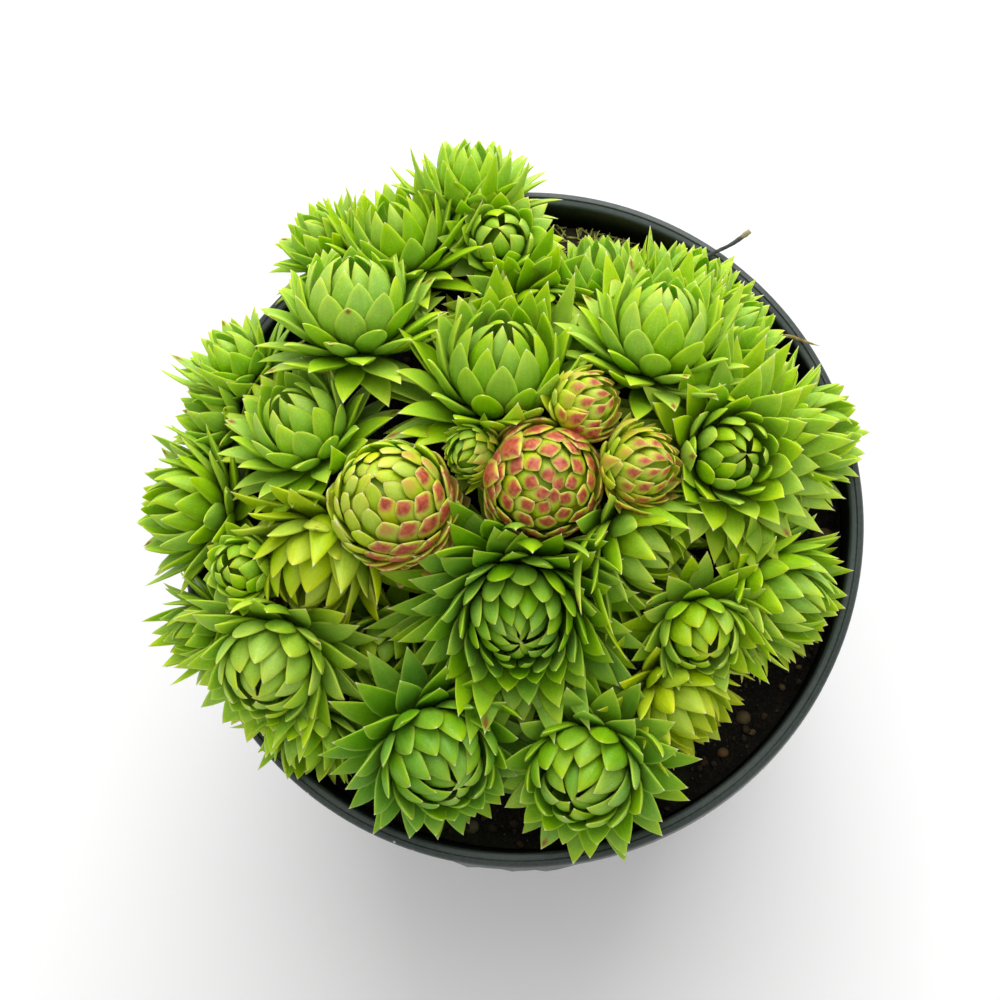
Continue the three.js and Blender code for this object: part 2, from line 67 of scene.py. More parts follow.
# %% Place the camera
MM = 0.001
RIM_CENTRE = Vector((0, 0, 112)) * MM
VIEW_BACK = Vector((0.0788, -0.1547, 0.9848)).normalized()
VIEW_RIGHT = Vector((0.9968, 0, -0.0798)).normalized()
VIEW_UP = VIEW_BACK.cross(VIEW_RIGHT)
VIEW_DISTANCE = 500 * MM
AIM_LEFT = 3.7 * MM
AIM_BEHIND = 4.3 * MM
SENSOR = 36
LENS = 94.7
CLIP_START = 10 * MM

lens = bpy.data.cameras.new("camera")
lens.sensor_width = SENSOR
lens.lens = LENS
lens.clip_start = CLIP_START
camera = bpy.data.objects.new("camera", lens)
aim = RIM_CENTRE - VIEW_RIGHT * AIM_LEFT + VIEW_UP * AIM_BEHIND
turned = Matrix((VIEW_RIGHT, VIEW_UP, VIEW_BACK)).transposed().to_4x4()
camera.matrix_world = Matrix.Translation(aim + VIEW_BACK * VIEW_DISTANCE) @ turned
bpy.context.scene.collection.objects.link(camera)
bpy.context.scene.camera = camera
print("camera at", tuple(round(v, 3) for v in camera.location))

# %% [markdown]
# ## Light and floor
#
# The light is that of a bright, cloudy day: it comes softly from all over, and
# most strongly from the back of the plant, so every leaf has a light side and the
# gaps between the rosettes stay dark. A pale world gives the soft part, and two
# large square lamps behind the plant, one lower and one higher, give the direction.
# The floor is a plain pale sheet, a hair below the pot so that the two don't flicker.

# %% Set the light and the floor
WORLD_WHITE = (1, 1, 1, 1)
WORLD_STRENGTH = 0.6
FLOOR_SIZE = 6
FLOOR_DROP = 0.5 * MM
FLOOR_SHADE = (0.97, 0.97, 0.965, 1)
FLOOR_ROUGH = 0.9
# Each lamp's place and size in metres, and its power in watts.
LAMPS = {
    "lamp_window": ((0.2, 1.35, 0.8), 1.3, 19),
    "lamp_sky": ((0.1, 0.7, 1.25), 1.4, 9.5),
}

world = bpy.data.worlds.new("cloudy_sky")
world.use_nodes = True
sky = world.node_tree.nodes["Background"]
sky.inputs["Color"].default_value = WORLD_WHITE
sky.inputs["Strength"].default_value = WORLD_STRENGTH
bpy.context.scene.world = world
bpy.context.scene.view_settings.view_transform = "Standard"


def add_lamp(name, place, size, power):
    """A square lamp at a place in metres that faces the plant."""
    lamp = bpy.data.lights.new(name, "AREA")
    lamp.size = size
    lamp.energy = power
    lit = bpy.data.objects.new(name, lamp)
    lit.location = place
    lit.rotation_euler = (RIM_CENTRE - Vector(place)).to_track_quat("-Z", "Y").to_euler()
    bpy.context.scene.collection.objects.link(lit)


def stand_alone(piece=None):
    """Lets go of every object, and takes up one piece where it is given."""
    bpy.ops.object.select_all(action="DESELECT")
    if piece:
        piece.select_set(True)
        bpy.context.view_layer.objects.active = piece


for name, (place, size, power) in LAMPS.items():
    add_lamp(name, place, size, power)
stand_alone()
bpy.ops.mesh.primitive_plane_add(size=FLOOR_SIZE, location=(0, 0, -FLOOR_DROP))
floor = bpy.context.object
floor.name = "floor"
paper = bpy.data.materials.new("pale_floor")
paper.use_nodes = True
sheet = paper.node_tree.nodes["Principled BSDF"]
sheet.inputs["Base Color"].default_value = FLOOR_SHADE
sheet.inputs["Roughness"].default_value = FLOOR_ROUGH
floor.data.materials.append(paper)
print("lamps:", list(LAMPS))

# %% [markdown]
# ## Shader maths
#
# A finish is a small calculation at each point of a surface. Drawn as nodes it is
# hard to read, so we write it as sums. A `Reading` is a number or a colour at a
# point; adding or multiplying two of them places the Math node that does so. A
# `Finish` is one material, and its `node` method makes every other kind of node.

# %% Write the shader classes
class Reading:
    """A value at a point of the surface. Sums on it place Math nodes."""

    def __init__(self, finish, socket):
        self.finish = finish
        self.socket = socket

    def __add__(self, other):
        return self.finish.math("ADD", self, other)

    def __radd__(self, other):
        return self.finish.math("ADD", other, self)

    def __sub__(self, other):
        return self.finish.math("SUBTRACT", self, other)

    def __rsub__(self, other):
        return self.finish.math("SUBTRACT", other, self)

    def __mul__(self, other):
        return self.finish.math("MULTIPLY", self, other)

    def __rmul__(self, other):
        return self.finish.math("MULTIPLY", other, self)

    def __abs__(self):
        return self.finish.math("ABSOLUTE", self)

    def rise(self, low, high):
        """0 below low, 1 above high, and a smooth slope between them."""
        sockets = {"Value": self, "From Min": low, "From Max": high}
        return self.finish.node("MapRange", {"interpolation_type": "SMOOTHSTEP"}, sockets)


class Finish:
    """One material, built from a node's type, its settings and its sockets."""

    def __init__(self, name):
        self.material = bpy.data.materials.new(name)
        self.material.use_nodes = True
        self.tree = self.material.node_tree
        self.shader = self.tree.nodes["Principled BSDF"]

    def put(self, socket, value):
        """Links a reading into a socket, or sets it to a constant."""
        if isinstance(value, Reading):
            self.tree.links.new(value.socket, socket)
        elif isinstance(value, tuple) and len(socket.default_value) == 4:
            socket.default_value = (*value[:3], 1)
        else:
            socket.default_value = value

    def node(self, kind, settings, sockets, output=0):
        """Any node: its type, its settings, and the values or links of its sockets."""
        made = self.tree.nodes.new("ShaderNode" + kind)
        for name, value in settings.items():
            setattr(made, name, value)
        for key, value in sockets.items():
            self.put(made.inputs[key], value)
        return Reading(self, made.outputs[output])

    def here(self):
        """The point's place on its own object, in metres."""
        return self.node("TexCoord", {}, {}, "Object")

    def stored(self, name):
        """A vector that each point of the mesh keeps under a name."""
        return self.node("Attribute", {"attribute_name": name}, {}, "Vector")

    def parts(self, vector):
        """The three numbers of a vector."""
        made = self.tree.nodes.new("ShaderNodeSeparateXYZ")
        self.put(made.inputs[0], vector)
        return [Reading(self, made.outputs[k]) for k in range(3)]

    def math(self, operation, first, second=0):
        """A Math node on one or two numbers."""
        return self.node("Math", {"operation": operation}, {0: first, 1: second})

    def speckle(self, where, scale, detail=3.0, rough=0.55):
        """Soft noise from 0 to 1, with so many waves to a metre."""
        sockets = {"Vector": where, "Scale": scale, "Detail": detail, "Roughness": rough}
        return self.node("TexNoise", {}, sockets, "Fac")

    def blend(self, share, first, second):
        """A colour between two others."""
        return self.node("Mix", {"data_type": "RGBA"}, {0: share, 6: first, 7: second}, 2)

    def bump(self, height, strength, depth):
        """A normal that is tilted by a height."""
        sockets = {"Height": height, "Strength": strength, "Distance": depth}
        return self.node("Bump", {}, sockets, "Normal")

    def finish(self, **sockets):
        """Sets the shader's own sockets, spaces written as underscores."""
        for name, value in sockets.items():
            self.put(self.shader.inputs[name.replace("_", " ")], value)
        return self.material


def paint(red, green, blue):
    """A colour as it looks on a screen, from 0 to 255, turned into light."""
    def light(level):
        share = level / 255
        return share / 12.92 if share <= 0.04045 else ((share + 0.055) / 1.055) ** 2.4
    return light(red), light(green), light(blue)


print("a middle grey, as light:", round(paint(128, 128, 128)[0], 3))

# %% [markdown]
# ## The leaf's finish
#
# A houseleek leaf is pale and yellowish at its edge and tip, where it is thin, and a
# deeper green towards its base. Part of that paleness is painted light: the light that
# comes through the thin edge and tip is painted in as a paler, yellower colour. A faint
# bloom of wax greys its middle. Light enters the flesh a little way, which is what makes
# it look juicy, so the shader has some subsurface scattering.
#
# The pattern has to follow each leaf, wherever it points. Every leaf therefore
# stores where a point lies on it: across, along and on which side, how old the leaf
# is, and how red, dry or scorched it is. One function makes the finish. A table
# gives it the colours of each kind of rosette: deep at the base, the body, the edge
# and the bloom, and how much light enters the flesh.

# %% Make the leaf finishes
BLUSH = paint(186, 82, 52)
BLUSH_DEEP = paint(148, 50, 32)
BLUSH_SOFT = paint(206, 132, 78)
BLUSH_PINK = paint(208, 118, 88)
SCORCH = paint(150, 90, 42)
DRY_LEAF = paint(134, 104, 62)
DRY_DARK = paint(64, 46, 28)
SPINE_PALE = paint(222, 222, 166)
# The pale margin is partly the leaf's own colour and partly painted light shining through the
# thin edge.
MARGIN_PALE_PAINTED_LIGHT = paint(196, 218, 92)


def leaf_finish(name, deep, body, edge, bloom, glow):
    """The finish of all the leaves, cores and stems of one kind of rosette."""
    deep, body, edge, bloom = [paint(*colour) for colour in (deep, body, edge, bloom)]
    leaf = Finish(name)
    across, along, side = leaf.parts(leaf.stored("place"))
    age, draw, flush = leaf.parts(leaf.stored("kind"))
    dry, scorch, tint = leaf.parts(leaf.stored("worn"))
    where = leaf.here()
    mottle = leaf.speckle(where, 420)
    broad = leaf.speckle(where, 110, 2.0)
    grain = leaf.speckle(where, 2600, 2.0)
    beside = abs(across)
    margin = beside.rise(0.62, 1.0)

    # Deep at the base, yellower at the tip and the edge, bloomed in between. The yellow at
    # the tip and the edge is partly the leaf's own colour and partly painted light shining
    # through.
    green = leaf.blend(along.rise(0.25, 0.72), deep, body)
    green = leaf.blend((along + 0.16 * mottle).rise(0.74, 1.12) * 0.8, green, edge)
    green = leaf.blend(margin * along.rise(0.3, 0.7) * 0.5, green, edge)
    waxy = (1 - margin) * along.rise(0.4, 0.62) * (1 - along.rise(0.74, 0.95))
    powder = (0.05 + 0.6 * broad) * (1.1 - 0.7 * age) + 0.5 * grain.rise(0.52, 0.72)
    green = leaf.blend(waxy * powder, green, bloom)
    # Streaked along the leaf, and each leaf a little different.
    drawn_out = {0: across * 4 + draw * 31, 1: along * 1.3, 2: age * 37}
    lengthwise = leaf.node("CombineXYZ", {}, drawn_out)
    streaks = leaf.speckle(lengthwise, 1, 3.0, 0.6)
    # A lower draw gives a darker leaf. On the front rosettes the draw is lowered, which paints
    # shade on them.
    lighter = leaf.node("HueSaturation", {}, {
        "Hue": 0.51 - 0.018 * draw,
        "Saturation": 0.93 + 0.12 * tint,
        "Value": 0.6 + 0.16 * draw + 0.2 * mottle + 0.34 * streaks + 0.16 * grain,
        "Color": green,
    })
    # A pale margin and a pale spine at the tip. The pale margin is partly the leaf's own
    # colour and partly painted light shining through the thin edge.
    rim = beside.rise(0.84, 0.98) * along.rise(0.35, 0.6)
    coloured = leaf.blend(rim * (0.3 + 0.3 * flush), lighter, MARGIN_PALE_PAINTED_LIGHT)
    coloured = leaf.blend(along.rise(0.94, 0.98) * 0.8, coloured, SPINE_PALE)

    # The red patch on the back, and the blush round it.
    fleck = leaf.speckle(where, 1000)
    rhomb = beside * (0.3 + 0.7 * beside) + abs(along - 0.8) * 4.0 + 0.5 * mottle + 0.4 * fleck
    patch = (1 - (rhomb - 0.5 * flush).rise(0.34, 1.16)) * side * flush.rise(0.4, 0.62)
    red = leaf.blend(mottle.rise(0.3, 0.7), BLUSH_DEEP, BLUSH)
    red = leaf.blend(fleck.rise(0.36, 0.66) * 0.7, red, BLUSH_PINK)
    warm = flush.rise(0.0, 0.5) * along.rise(0.5, 0.86) * (1.1 - beside.rise(0.35, 1.0))
    coloured = leaf.blend(warm * (0.3 + 0.7 * mottle), coloured, BLUSH_SOFT)
    coloured = leaf.blend(patch, coloured, red)
    # Scorched tips and withered leaves.
    ellipse = beside * 0.8 + abs(along - 0.9) * 6.5 + 0.7 * mottle
    coloured = leaf.blend(scorch * (1 - ellipse.rise(0.45, 1.15)), coloured, SCORCH)
    straw = leaf.blend(mottle.rise(0.35, 0.7), DRY_DARK, DRY_LEAF)
    coloured = leaf.blend(dry, coloured, straw)

    return leaf.finish(
        Base_Color=coloured,
        Roughness=0.36 + 0.22 * mottle + 0.25 * dry,
        Subsurface_Weight=glow,
        Subsurface_Radius=(0.5, 1.0, 0.25),
        Subsurface_Scale=2 * MM,
        Specular_IOR_Level=0.36,
        Normal=leaf.bump(grain * 0.7 + mottle, 0.32, 0.3 * MM),
    )


# Each kind's colours at the base, in the body, at the edge and in the bloom, and its subsurface
# weight. The edge colour is partly painted light shining through the thin tip and margin.
LEAF_COLOURS = {
    "leaf_green": ((112, 150, 6), (140, 182, 12), (194, 216, 34), (158, 198, 62), 0.32),
    "leaf_pale": ((118, 158, 10), (150, 192, 26), (198, 220, 54), (172, 208, 88), 0.32),
    "leaf_yellow": ((140, 164, 4), (176, 200, 10), (208, 216, 36), (184, 206, 46), 0.32),
    "leaf_red": ((162, 184, 20), (184, 208, 36), (206, 216, 66), (188, 208, 62), 0.6),
}
LEAF_FINISHES = {name: leaf_finish(name, *row) for name, row in LEAF_COLOURS.items()}
print("leaf finishes:", sorted(LEAF_FINISHES))

# %% [markdown]
# ## One leaf, modelled once
#
# Every leaf of the clump has one of four shapes: the pointed leaf of a round
# rosette, the slimmer lance of one that lies out over the rim, the broader ovate
# leaf of an open one, or the blunt scale of a closed, red one. All but the scale end
# in a short spine. Each shape is a blank of unit size. It starts as a ring of points,
# which is squashed into the leaf's section, flat on its face and keeled on its back,
# and is then extruded along the leaf, one station after the other, each wider or
# narrower than the last. The points of the last ring are merged in the tip.

# %% Model the leaf blanks
RING_POINTS = 12
FACE_DEPTH = 0.6
# The points of the ring that lie beside the margin, and how much nearer they are drawn.
BESIDE_FROM = 0.6
BESIDE_TO = 0.95
BESIDE_MARGIN = 0.74
SLIGHT = 0.001
# Each station is how far along the leaf it is, and its width and thickness as
# shares of the broadest.
STATIONS = {
    "pointed": [
        (0.00, 0.45, 0.50), (0.16, 0.66, 0.78), (0.30, 0.88, 0.95), (0.43, 1.00, 1.00),
        (0.56, 0.97, 0.93), (0.67, 0.82, 0.80), (0.77, 0.61, 0.64), (0.86, 0.39, 0.46),
        (0.93, 0.19, 0.27), (0.97, 0.07, 0.11),
    ],
    "lance": [
        (0.00, 0.46, 0.52), (0.14, 0.68, 0.80), (0.27, 0.91, 0.96), (0.38, 1.00, 1.00),
        (0.51, 0.93, 0.93), (0.63, 0.76, 0.80), (0.75, 0.54, 0.62), (0.86, 0.32, 0.42),
        (0.93, 0.16, 0.25), (0.97, 0.06, 0.11),
    ],
    "ovate": [
        (0.00, 0.45, 0.50), (0.16, 0.64, 0.78), (0.30, 0.86, 0.95), (0.44, 0.99, 1.00),
        (0.57, 0.99, 0.93), (0.68, 0.87, 0.81), (0.78, 0.66, 0.65), (0.86, 0.43, 0.47),
        (0.93, 0.19, 0.26), (0.965, 0.07, 0.11),
    ],
    "scale": [
        (0.00, 0.50, 0.60), (0.20, 0.72, 0.84), (0.38, 0.90, 0.98), (0.52, 0.99, 1.00),
        (0.65, 1.00, 0.97), (0.76, 0.91, 0.88), (0.85, 0.71, 0.72), (0.92, 0.46, 0.52),
        (0.96, 0.26, 0.34), (0.985, 0.11, 0.16),
    ],
}


def open_up(name, by="VERT"):
    """Names the newest piece and opens it for editing, with all of it selected."""
    piece = bpy.context.object
    piece.name = name
    bpy.ops.object.mode_set(mode="EDIT")
    bpy.ops.mesh.select_mode(type=by)
    bpy.ops.mesh.select_all(action="SELECT")
    return piece


def close_up():
    """Turns every face outwards and ends the editing."""
    bpy.ops.mesh.select_all(action="SELECT")
    bpy.ops.mesh.normals_make_consistent(inside=False)
    bpy.ops.object.mode_set(mode="OBJECT")


def pull(x, y, z):
    """Extrudes what is selected by a step."""
    bpy.ops.mesh.extrude_region_move(TRANSFORM_OT_translate={"value": (x, y, z)})


def widen(x, y, z, middle=(0, 0, 0)):
    """Scales what is selected from a middle."""
    bpy.ops.transform.resize(value=(x, y, z), center_override=middle)


def select_where(mesh, wanted):
    """Selects the points of the mesh being edited for which wanted(point) is true."""
    shape = bmesh.from_edit_mesh(mesh)
    for vert in shape.verts:
        vert.select_set(wanted(vert.co))
    shape.select_flush_mode()
    bmesh.update_edit_mesh(mesh)


def read_plain(piece):
    """The points and faces of a modelled piece, which is then removed."""
    points = np.array([vert.co for vert in piece.data.vertices])
    faces = [tuple(face.vertices) for face in piece.data.polygons]
    bpy.data.objects.remove(piece)
    return {"points": points, "faces": faces}


def model_blank(name, stations):
    """A leaf of unit length and half width along +Z, with its back towards -Y."""
    stand_alone()
    bpy.ops.mesh.primitive_circle_add(vertices=RING_POINTS, radius=1, fill_type="NOTHING")
    blank = open_up(name)
    far, wide, thick = stations[0]
    select_where(blank.data, lambda at: BESIDE_FROM < abs(at.x) < BESIDE_TO)
    widen(1, BESIDE_MARGIN, 1)
    select_where(blank.data, lambda at: at.y > SLIGHT)
    widen(1, FACE_DEPTH, 1)
    bpy.ops.mesh.select_all(action="SELECT")
    widen(wide, thick, 1)
    for next_far, next_wide, next_thick in stations[1:]:
        pull(0, 0, next_far - far)
        widen(next_wide / wide, next_thick / thick, 1, (0, 0, next_far))
        far, wide, thick = next_far, next_wide, next_thick
    pull(0, 0, 1 - far)
    bpy.ops.mesh.merge(type="CENTER")
    select_where(blank.data, lambda at: at.z < SLIGHT)
    bpy.ops.mesh.merge(type="CENTER")
    close_up()
    return read_plain(blank)


def read_blank(name, stations):
    """A blank as arrays, with where each of its points lies on the leaf."""
    blank = model_blank(name, stations)
    points = blank["points"]
    fars, widths, _ = zip(*stations)
    width = np.interp(points[:, 2], (*fars, 1), (*widths, widths[-1]))
    across = np.clip(points[:, 0] / width, -1, 1)
    back = (points[:, 1] < SLIGHT).astype(float)
    blank["place"] = np.stack([across, points[:, 2], back], axis=1)
    return blank


BLANKS = {name: read_blank(name, stations) for name, stations in STATIONS.items()}
for name, blank in BLANKS.items():
    print(name, "leaf:", len(blank["points"]), "points,", len(blank["faces"]), "faces")

# %% [markdown]
# ## How a rosette grows
#
# A rosette makes one leaf after the other, each turned by the golden angle from the
# last, so that no two lie straight above each other. The youngest stand upright at
# the heart and the oldest lie out flat. We follow the same rule as the solids do.
#
# One table says how the leaves of each form of rosette grow: round globes, crowns
# whose tips spread, open ones, fans that lie out over the rim, and closed buttons and
# buds, most of which are red. Another table places the 36 rosettes.

# %% Describe the rosettes
GOLDEN_ANGLE = math.radians(137.508)
STEM_FOCUS = np.array((-3, 2, 42)) * MM
RIM_HEIGHT = 112 * MM

# How a rosette of each form grows. young and old are the angles of the youngest and
# the oldest tips from the rosette's axis, in degrees, and opening is how soon the
# tips leave the heart. root is how far behind its tip a young, a grown and an old
# leaf is rooted, in degrees, and foot is how far from the middle its root lies, as a
# share of the body. heart is how far the youngest tips reach, also as a share of
# the body, and hold is how long the leaves stay at the body before their tips
# spread. slim is the width of the youngest leaf, as a share of a grown one's, and
# the age at which leaves are grown. pitch is the distance from leaf to leaf, as a
# share of their width, and core is the size of the solid middle, as a share of the
# body. rise is how much of its droop a leaf takes back where its tip would point
# below the horizon. flesh is a leaf's thickness as a share of its width, and swell
# is how soon a leaf comes out to the body. straight is how soon a grown leaf has
# turned outwards, so that the rest of it points straight away from the middle, and
# skirt is how much further the leaves reach that are past their age. blank is the
# shape of the leaves.
LEAFY = dict(foot=0.3, swell=1.8, skirt=0, blank="pointed")
FORMS = {
    "globe": dict(LEAFY, young=-7, old=106, opening=0.84, root=(58, 80, 60), heart=1.04,
                  hold=1.4, slim=(0.72, 0.2), pitch=0.8, core=0.5, rise=0.5, flesh=0.33,
                  straight=2.4),
    "crown": dict(LEAFY, young=-4, old=106, opening=0.8, root=(50, 74, 60), heart=1.17,
                  hold=1.05, slim=(0.66, 0.22), pitch=0.78, core=0.48, rise=0.55, flesh=0.33,
                  straight=2.4),
    "open": dict(LEAFY, young=-5, old=106, opening=0.8, root=(50, 74, 60), heart=0.94,
                 hold=0.95, slim=(0.46, 0.42), pitch=0.7, core=0.42, rise=0.6, flesh=0.32,
                 straight=2.6, blank="ovate"),
    "fan": dict(LEAFY, young=-3, old=104, opening=0.7, root=(46, 68, 56), heart=1.3,
                hold=1.0, slim=(0.64, 0.2), pitch=0.7, core=0.45, rise=0.45, flesh=0.34,
                straight=2.2, blank="lance"),
    "button": dict(young=-7, old=124, opening=0.72, root=(38, 46, 48), foot=0.8, heart=1.0,
                   hold=2.0, slim=(0.4, 0.5), pitch=0.61, blank="scale", core=0.86, rise=0,
                   flesh=0.22, swell=1.1, straight=1, skirt=2.6),
    "bud": dict(young=-6, old=112, opening=0.74, root=(52, 72, 60), foot=0.66, heart=1.1,
                hold=1.8, slim=(0.5, 0.35), pitch=0.72, blank="pointed", core=0.8, rise=0.2,
                flesh=0.3, swell=1.3, straight=1.4, skirt=1),
}

# Each rosette: its node's name, the place of its middle (x, y and height above the
# rim), the radius of its body and of its spread tips, its lean and the compass of
# that lean, its form and the width of its leaves.
ROSETTES = [
    ("01_back_rim", -8.6, 62.2, 8, 7.6, 17.4, 65, 86, "fan", 5.3),
    ("02_back_left_open", -20.9, 49.6, 13, 8.6, 21.5, 52, 104, "fan", 5.8),
    ("03_back_left_rim", -35.9, 51.7, 9, 6, 15, 51, 137, "fan", 4.7),
    ("04_back_left_globe", -28.7, 33.6, 23, 11.2, 19.6, 55, 90, "crown", 6.3),
    ("05_back_small", -2.6, 51, 14.5, 6.8, 12.7, 9, 54, "globe", 4.9),
    ("06_back_dark", 3.4, 36.6, 12.5, 8, 18.2, 48, -53, "open", 5.2),
    ("07_back_right_small", 15.9, 43.8, 9, 6.6, 14.8, 59, 93, "fan", 4.9),
    ("08_back_right_wide", 31.6, 40.4, 9, 7.6, 16.2, 60, 58, "fan", 5.4),
    ("09_back_centre", -1.9, 21.9, 23, 12.2, 24.4, 40, 81, "crown", 6.4),
    ("10_right_back_globe", 26.5, 28.5, 22, 11, 20.2, 52, 75, "crown", 6.2),
    ("11_right_back_rim", 39.4, 32, 11.5, 7.2, 15, 62, 37, "fan", 5.2),
    ("12_right_open", 38.8, 9, 20, 10.2, 24, 24, -21, "open", 5.8),
    ("13_right_rim", 52.6, 14.4, 9, 8.4, 16.4, 72, 6, "fan", 6),
    ("14_right_front_rim", 46.4, -13.8, 8.5, 9.6, 19.4, 72, -27, "fan", 6),
    ("15_right_front_small", 33.5, -21.6, 15, 8.2, 16.8, 48, -71, "globe", 5.4),
    ("16_front_right_yellow", 28.2, -33, 7, 8.4, 17.6, 81, -44, "fan", 6.3),
    ("17_front_right", 13.2, -46.4, 9, 11.4, 20.4, 37, -110, "globe", 6.6),
    ("18_front_left", -15.1, -42.8, 12, 12, 21, 50, -57, "globe", 6.5),
    ("19_left_front_globe", -43.9, -26.5, 15, 10.8, 20.2, 49, -105, "globe", 6.3),
    ("20_left_front_under", -38.6, -38.7, 4, 6.8, 16, 78, -101, "fan", 5.2),
    ("21_left_front_rim", -58, -19.8, 5, 6, 14.8, 67, -154, "fan", 4.7),
    ("22_left_small", -48.8, -11, 20, 6.2, 9.6, 22, -168, "globe", 4.7),
    ("23_left_rim", -58.6, 1.8, 9, 9, 18.6, 63, -178, "fan", 6.2),
    ("24_left_back_rim", -52, 28.6, 9, 6.4, 16, 56, 131, "fan", 4.9),
    ("25_left_back_low", -55.3, 19, 8, 6, 15.3, 58, 155, "fan", 4.7),
    ("26_left_globe", -37.6, 13.2, 21, 9.6, 19.6, 40, 122, "crown", 5.6),
    ("27_left_yellow", -35.2, -7.2, 20, 10.2, 19.6, 72, -104, "crown", 6.6),
    ("28_red_left", -20.5, -0.6, 31, 11, 12.9, 22, 129, "button", 7),
    ("29_red_centre", 6.5, 2.9, 31, 10.6, 12.5, 24, -55, "button", 6.9),
    ("30_red_small", 13.8, 16, 33, 6.2, 7.6, 58, 10, "bud", 4.6),
    ("31_red_right", 23.6, 5.5, 30, 6.8, 9.8, 52, -4, "bud", 4.4),
    ("32_small_bud", -5.9, 7.9, 32.5, 4.6, 7.2, 46, -136, "bud", 3.2),
    ("33_front_largest", 1.2, -17.7, 18, 13.6, 29, 38, -83, "open", 5.8),
    ("34_right_of_largest", 20.9, -5.9, 21.5, 8.4, 22.6, 77, -34, "fan", 5.8),
    ("35_deep_left", -25, -23.6, 6.5, 7, 16.2, 43, -85, "globe", 5.2),
    ("36_deep_right", 19.2, -30.8, 4, 4.5, 10.5, 44, -61, "globe", 4),
]


def mix(first, second, share):
    """A number between two others."""
    return first + (second - first) * share


def describe(row):
    """A rosette as named values, in metres and radians."""
    name, x, y, above, body, spread, lean, compass, form, width = row
    lean, compass = math.radians(lean), math.radians(compass)
    axis = np.array((
        math.sin(lean) * math.cos(compass),
        math.sin(lean) * math.sin(compass),
        math.cos(lean),
    ))
    across = np.array((-math.sin(compass), math.cos(compass), 0))
    return {
        "name": name,
        "middle": np.array((x * MM, y * MM, RIM_HEIGHT + above * MM)),
        "axis": axis,
        "across": across,
        "along": np.cross(across, axis),
        "body": body * MM,
        "spread": spread * MM,
        "form": FORMS[form],
        "width": width * MM,
    }


def count_leaves(rosette):
    """How many leaves cover a rosette, from their pitch and the way its tips open."""
    form = rosette["form"]
    opening = math.radians(form["old"] - form["young"])
    pitch = form["pitch"] * rosette["width"]
    return round(2 * math.pi * opening * rosette["body"] ** 2 / pitch ** 2)


rosettes = [describe(row) for row in ROSETTES]
print("rosettes:", len(rosettes), "leaves:", sum(count_leaves(r) for r in rosettes))

# %% [markdown]
# ## The spine of a leaf
#
# A leaf's spine is given by angles from the rosette's axis and by distances from its
# middle: it begins at its root on the core, comes out to the round body that the
# leaves make together, and leaves it towards its tip. The older the leaf, the
# sooner it turns to point straight outwards. Each leaf also draws small differences
# of its own: how far it sways, how long and wide it is and how it rolls.

# %% Write the rule for a leaf's spine
NUDGE = 0.01
# How far below the level a tip may point before it is raised, and the widest angle.
HORIZON = 0.12
WIDEST = 2.75
# How many leaves a rosette has with its skirt, as a share of its own, and how narrow
# the oldest of them get.
SKIRT = 1.16
SKIRT_NARROWER = 0.86
STRAIGHT_SOON = 1.6
FLARE = 1.8


def bearings(rosette, angles, turn):
    """Directions at angles from the rosette's axis, at a turn about it."""
    outward = rosette["along"] * math.cos(turn) + rosette["across"] * math.sin(turn)
    angles = np.asarray(angles)[:, None]
    return outward * np.sin(angles) + rosette["axis"] * np.cos(angles)


def risen(rosette, opened, turn):
    """A tip's angle, less where the tip would point below the horizon."""
    outward = bearings(rosette, [math.pi / 2], turn)[0][2]
    upright = rosette["axis"][2]
    steep = math.hypot(outward, upright)
    level = math.acos(max(-1, -HORIZON / steep)) - math.atan2(-outward, upright)
    return opened - rosette["form"]["rise"] * max(0, opened - level)


def spine(rosette, leaf, bend, along):
    """Places on a leaf's spine, at shares of its length from the root."""
    form, body, age = rosette["form"], rosette["body"], leaf["age"]
    fold, twist, shrink = bend
    opened = math.radians(mix(form["young"], form["old"], age ** form["opening"]))
    opened = risen(rosette, opened, leaf["turn"]) + leaf["sway"]
    behind = math.radians(np.interp(age, (0, form["slim"][1], 1), form["root"]))
    along = np.clip(along, 0, 1) * shrink
    grown = min(1, age) ** form["hold"]
    straight = mix(1, form["straight"], min(1, STRAIGHT_SOON * grown))
    angles = opened + behind * (1 - along) ** straight - fold * opened * along
    reach = mix(body * form["heart"], rosette["spread"], grown) * leaf["stretch"]
    reach *= 1 + form["skirt"] * max(0, age - 1)
    held = min(body, reach)
    root = body * form["foot"]
    radii = root + (held - root) * (1 - (1 - along) ** form["swell"])
    radii = radii + (reach - held) * along ** FLARE
    ways = bearings(rosette, np.minimum(angles, WIDEST), leaf["turn"] + twist)
    return rosette["middle"] + ways * radii[:, None]


def leaf_side(rosette, leaf, bend):
    """The direction across a leaf."""
    return bearings(rosette, [math.pi / 2], leaf["turn"] + bend[1] + math.pi / 2)[0]


def draw_leaves(index, rosette):
    """Every leaf of a rosette, from the heart outwards, with its own small draws."""
    draw = random.Random(700 + index)
    start = draw.uniform(0, 2 * math.pi)
    total = count_leaves(rosette)
    leaves = []
    for i in range(round(total * SKIRT)):
        age = (i + 0.5) / total
        slim, grown_at = rosette["form"]["slim"]
        grown = min(1, age / grown_at)
        broad = mix(slim, 1, grown) * mix(1, SKIRT_NARROWER, max(0, age - grown_at))
        leaves.append({
            "rosette": rosette,
            "age": age,
            "turn": start + i * GOLDEN_ANGLE,
            "sway": draw.uniform(-0.05, 0.05) * grown,
            "stretch": draw.uniform(0.95, 1.05),
            "width": rosette["width"] * broad * draw.uniform(0.93, 1.07),
            "roll": draw.uniform(-0.12, 0.12),
            "draw": draw.random(),
            "tint": draw.random(),
        })
    return leaves


leaves = [leaf for pair in enumerate(rosettes) for leaf in draw_leaves(*pair)]
leaves.sort(key=lambda leaf: leaf["age"])
print("leaves drawn:", len(leaves))

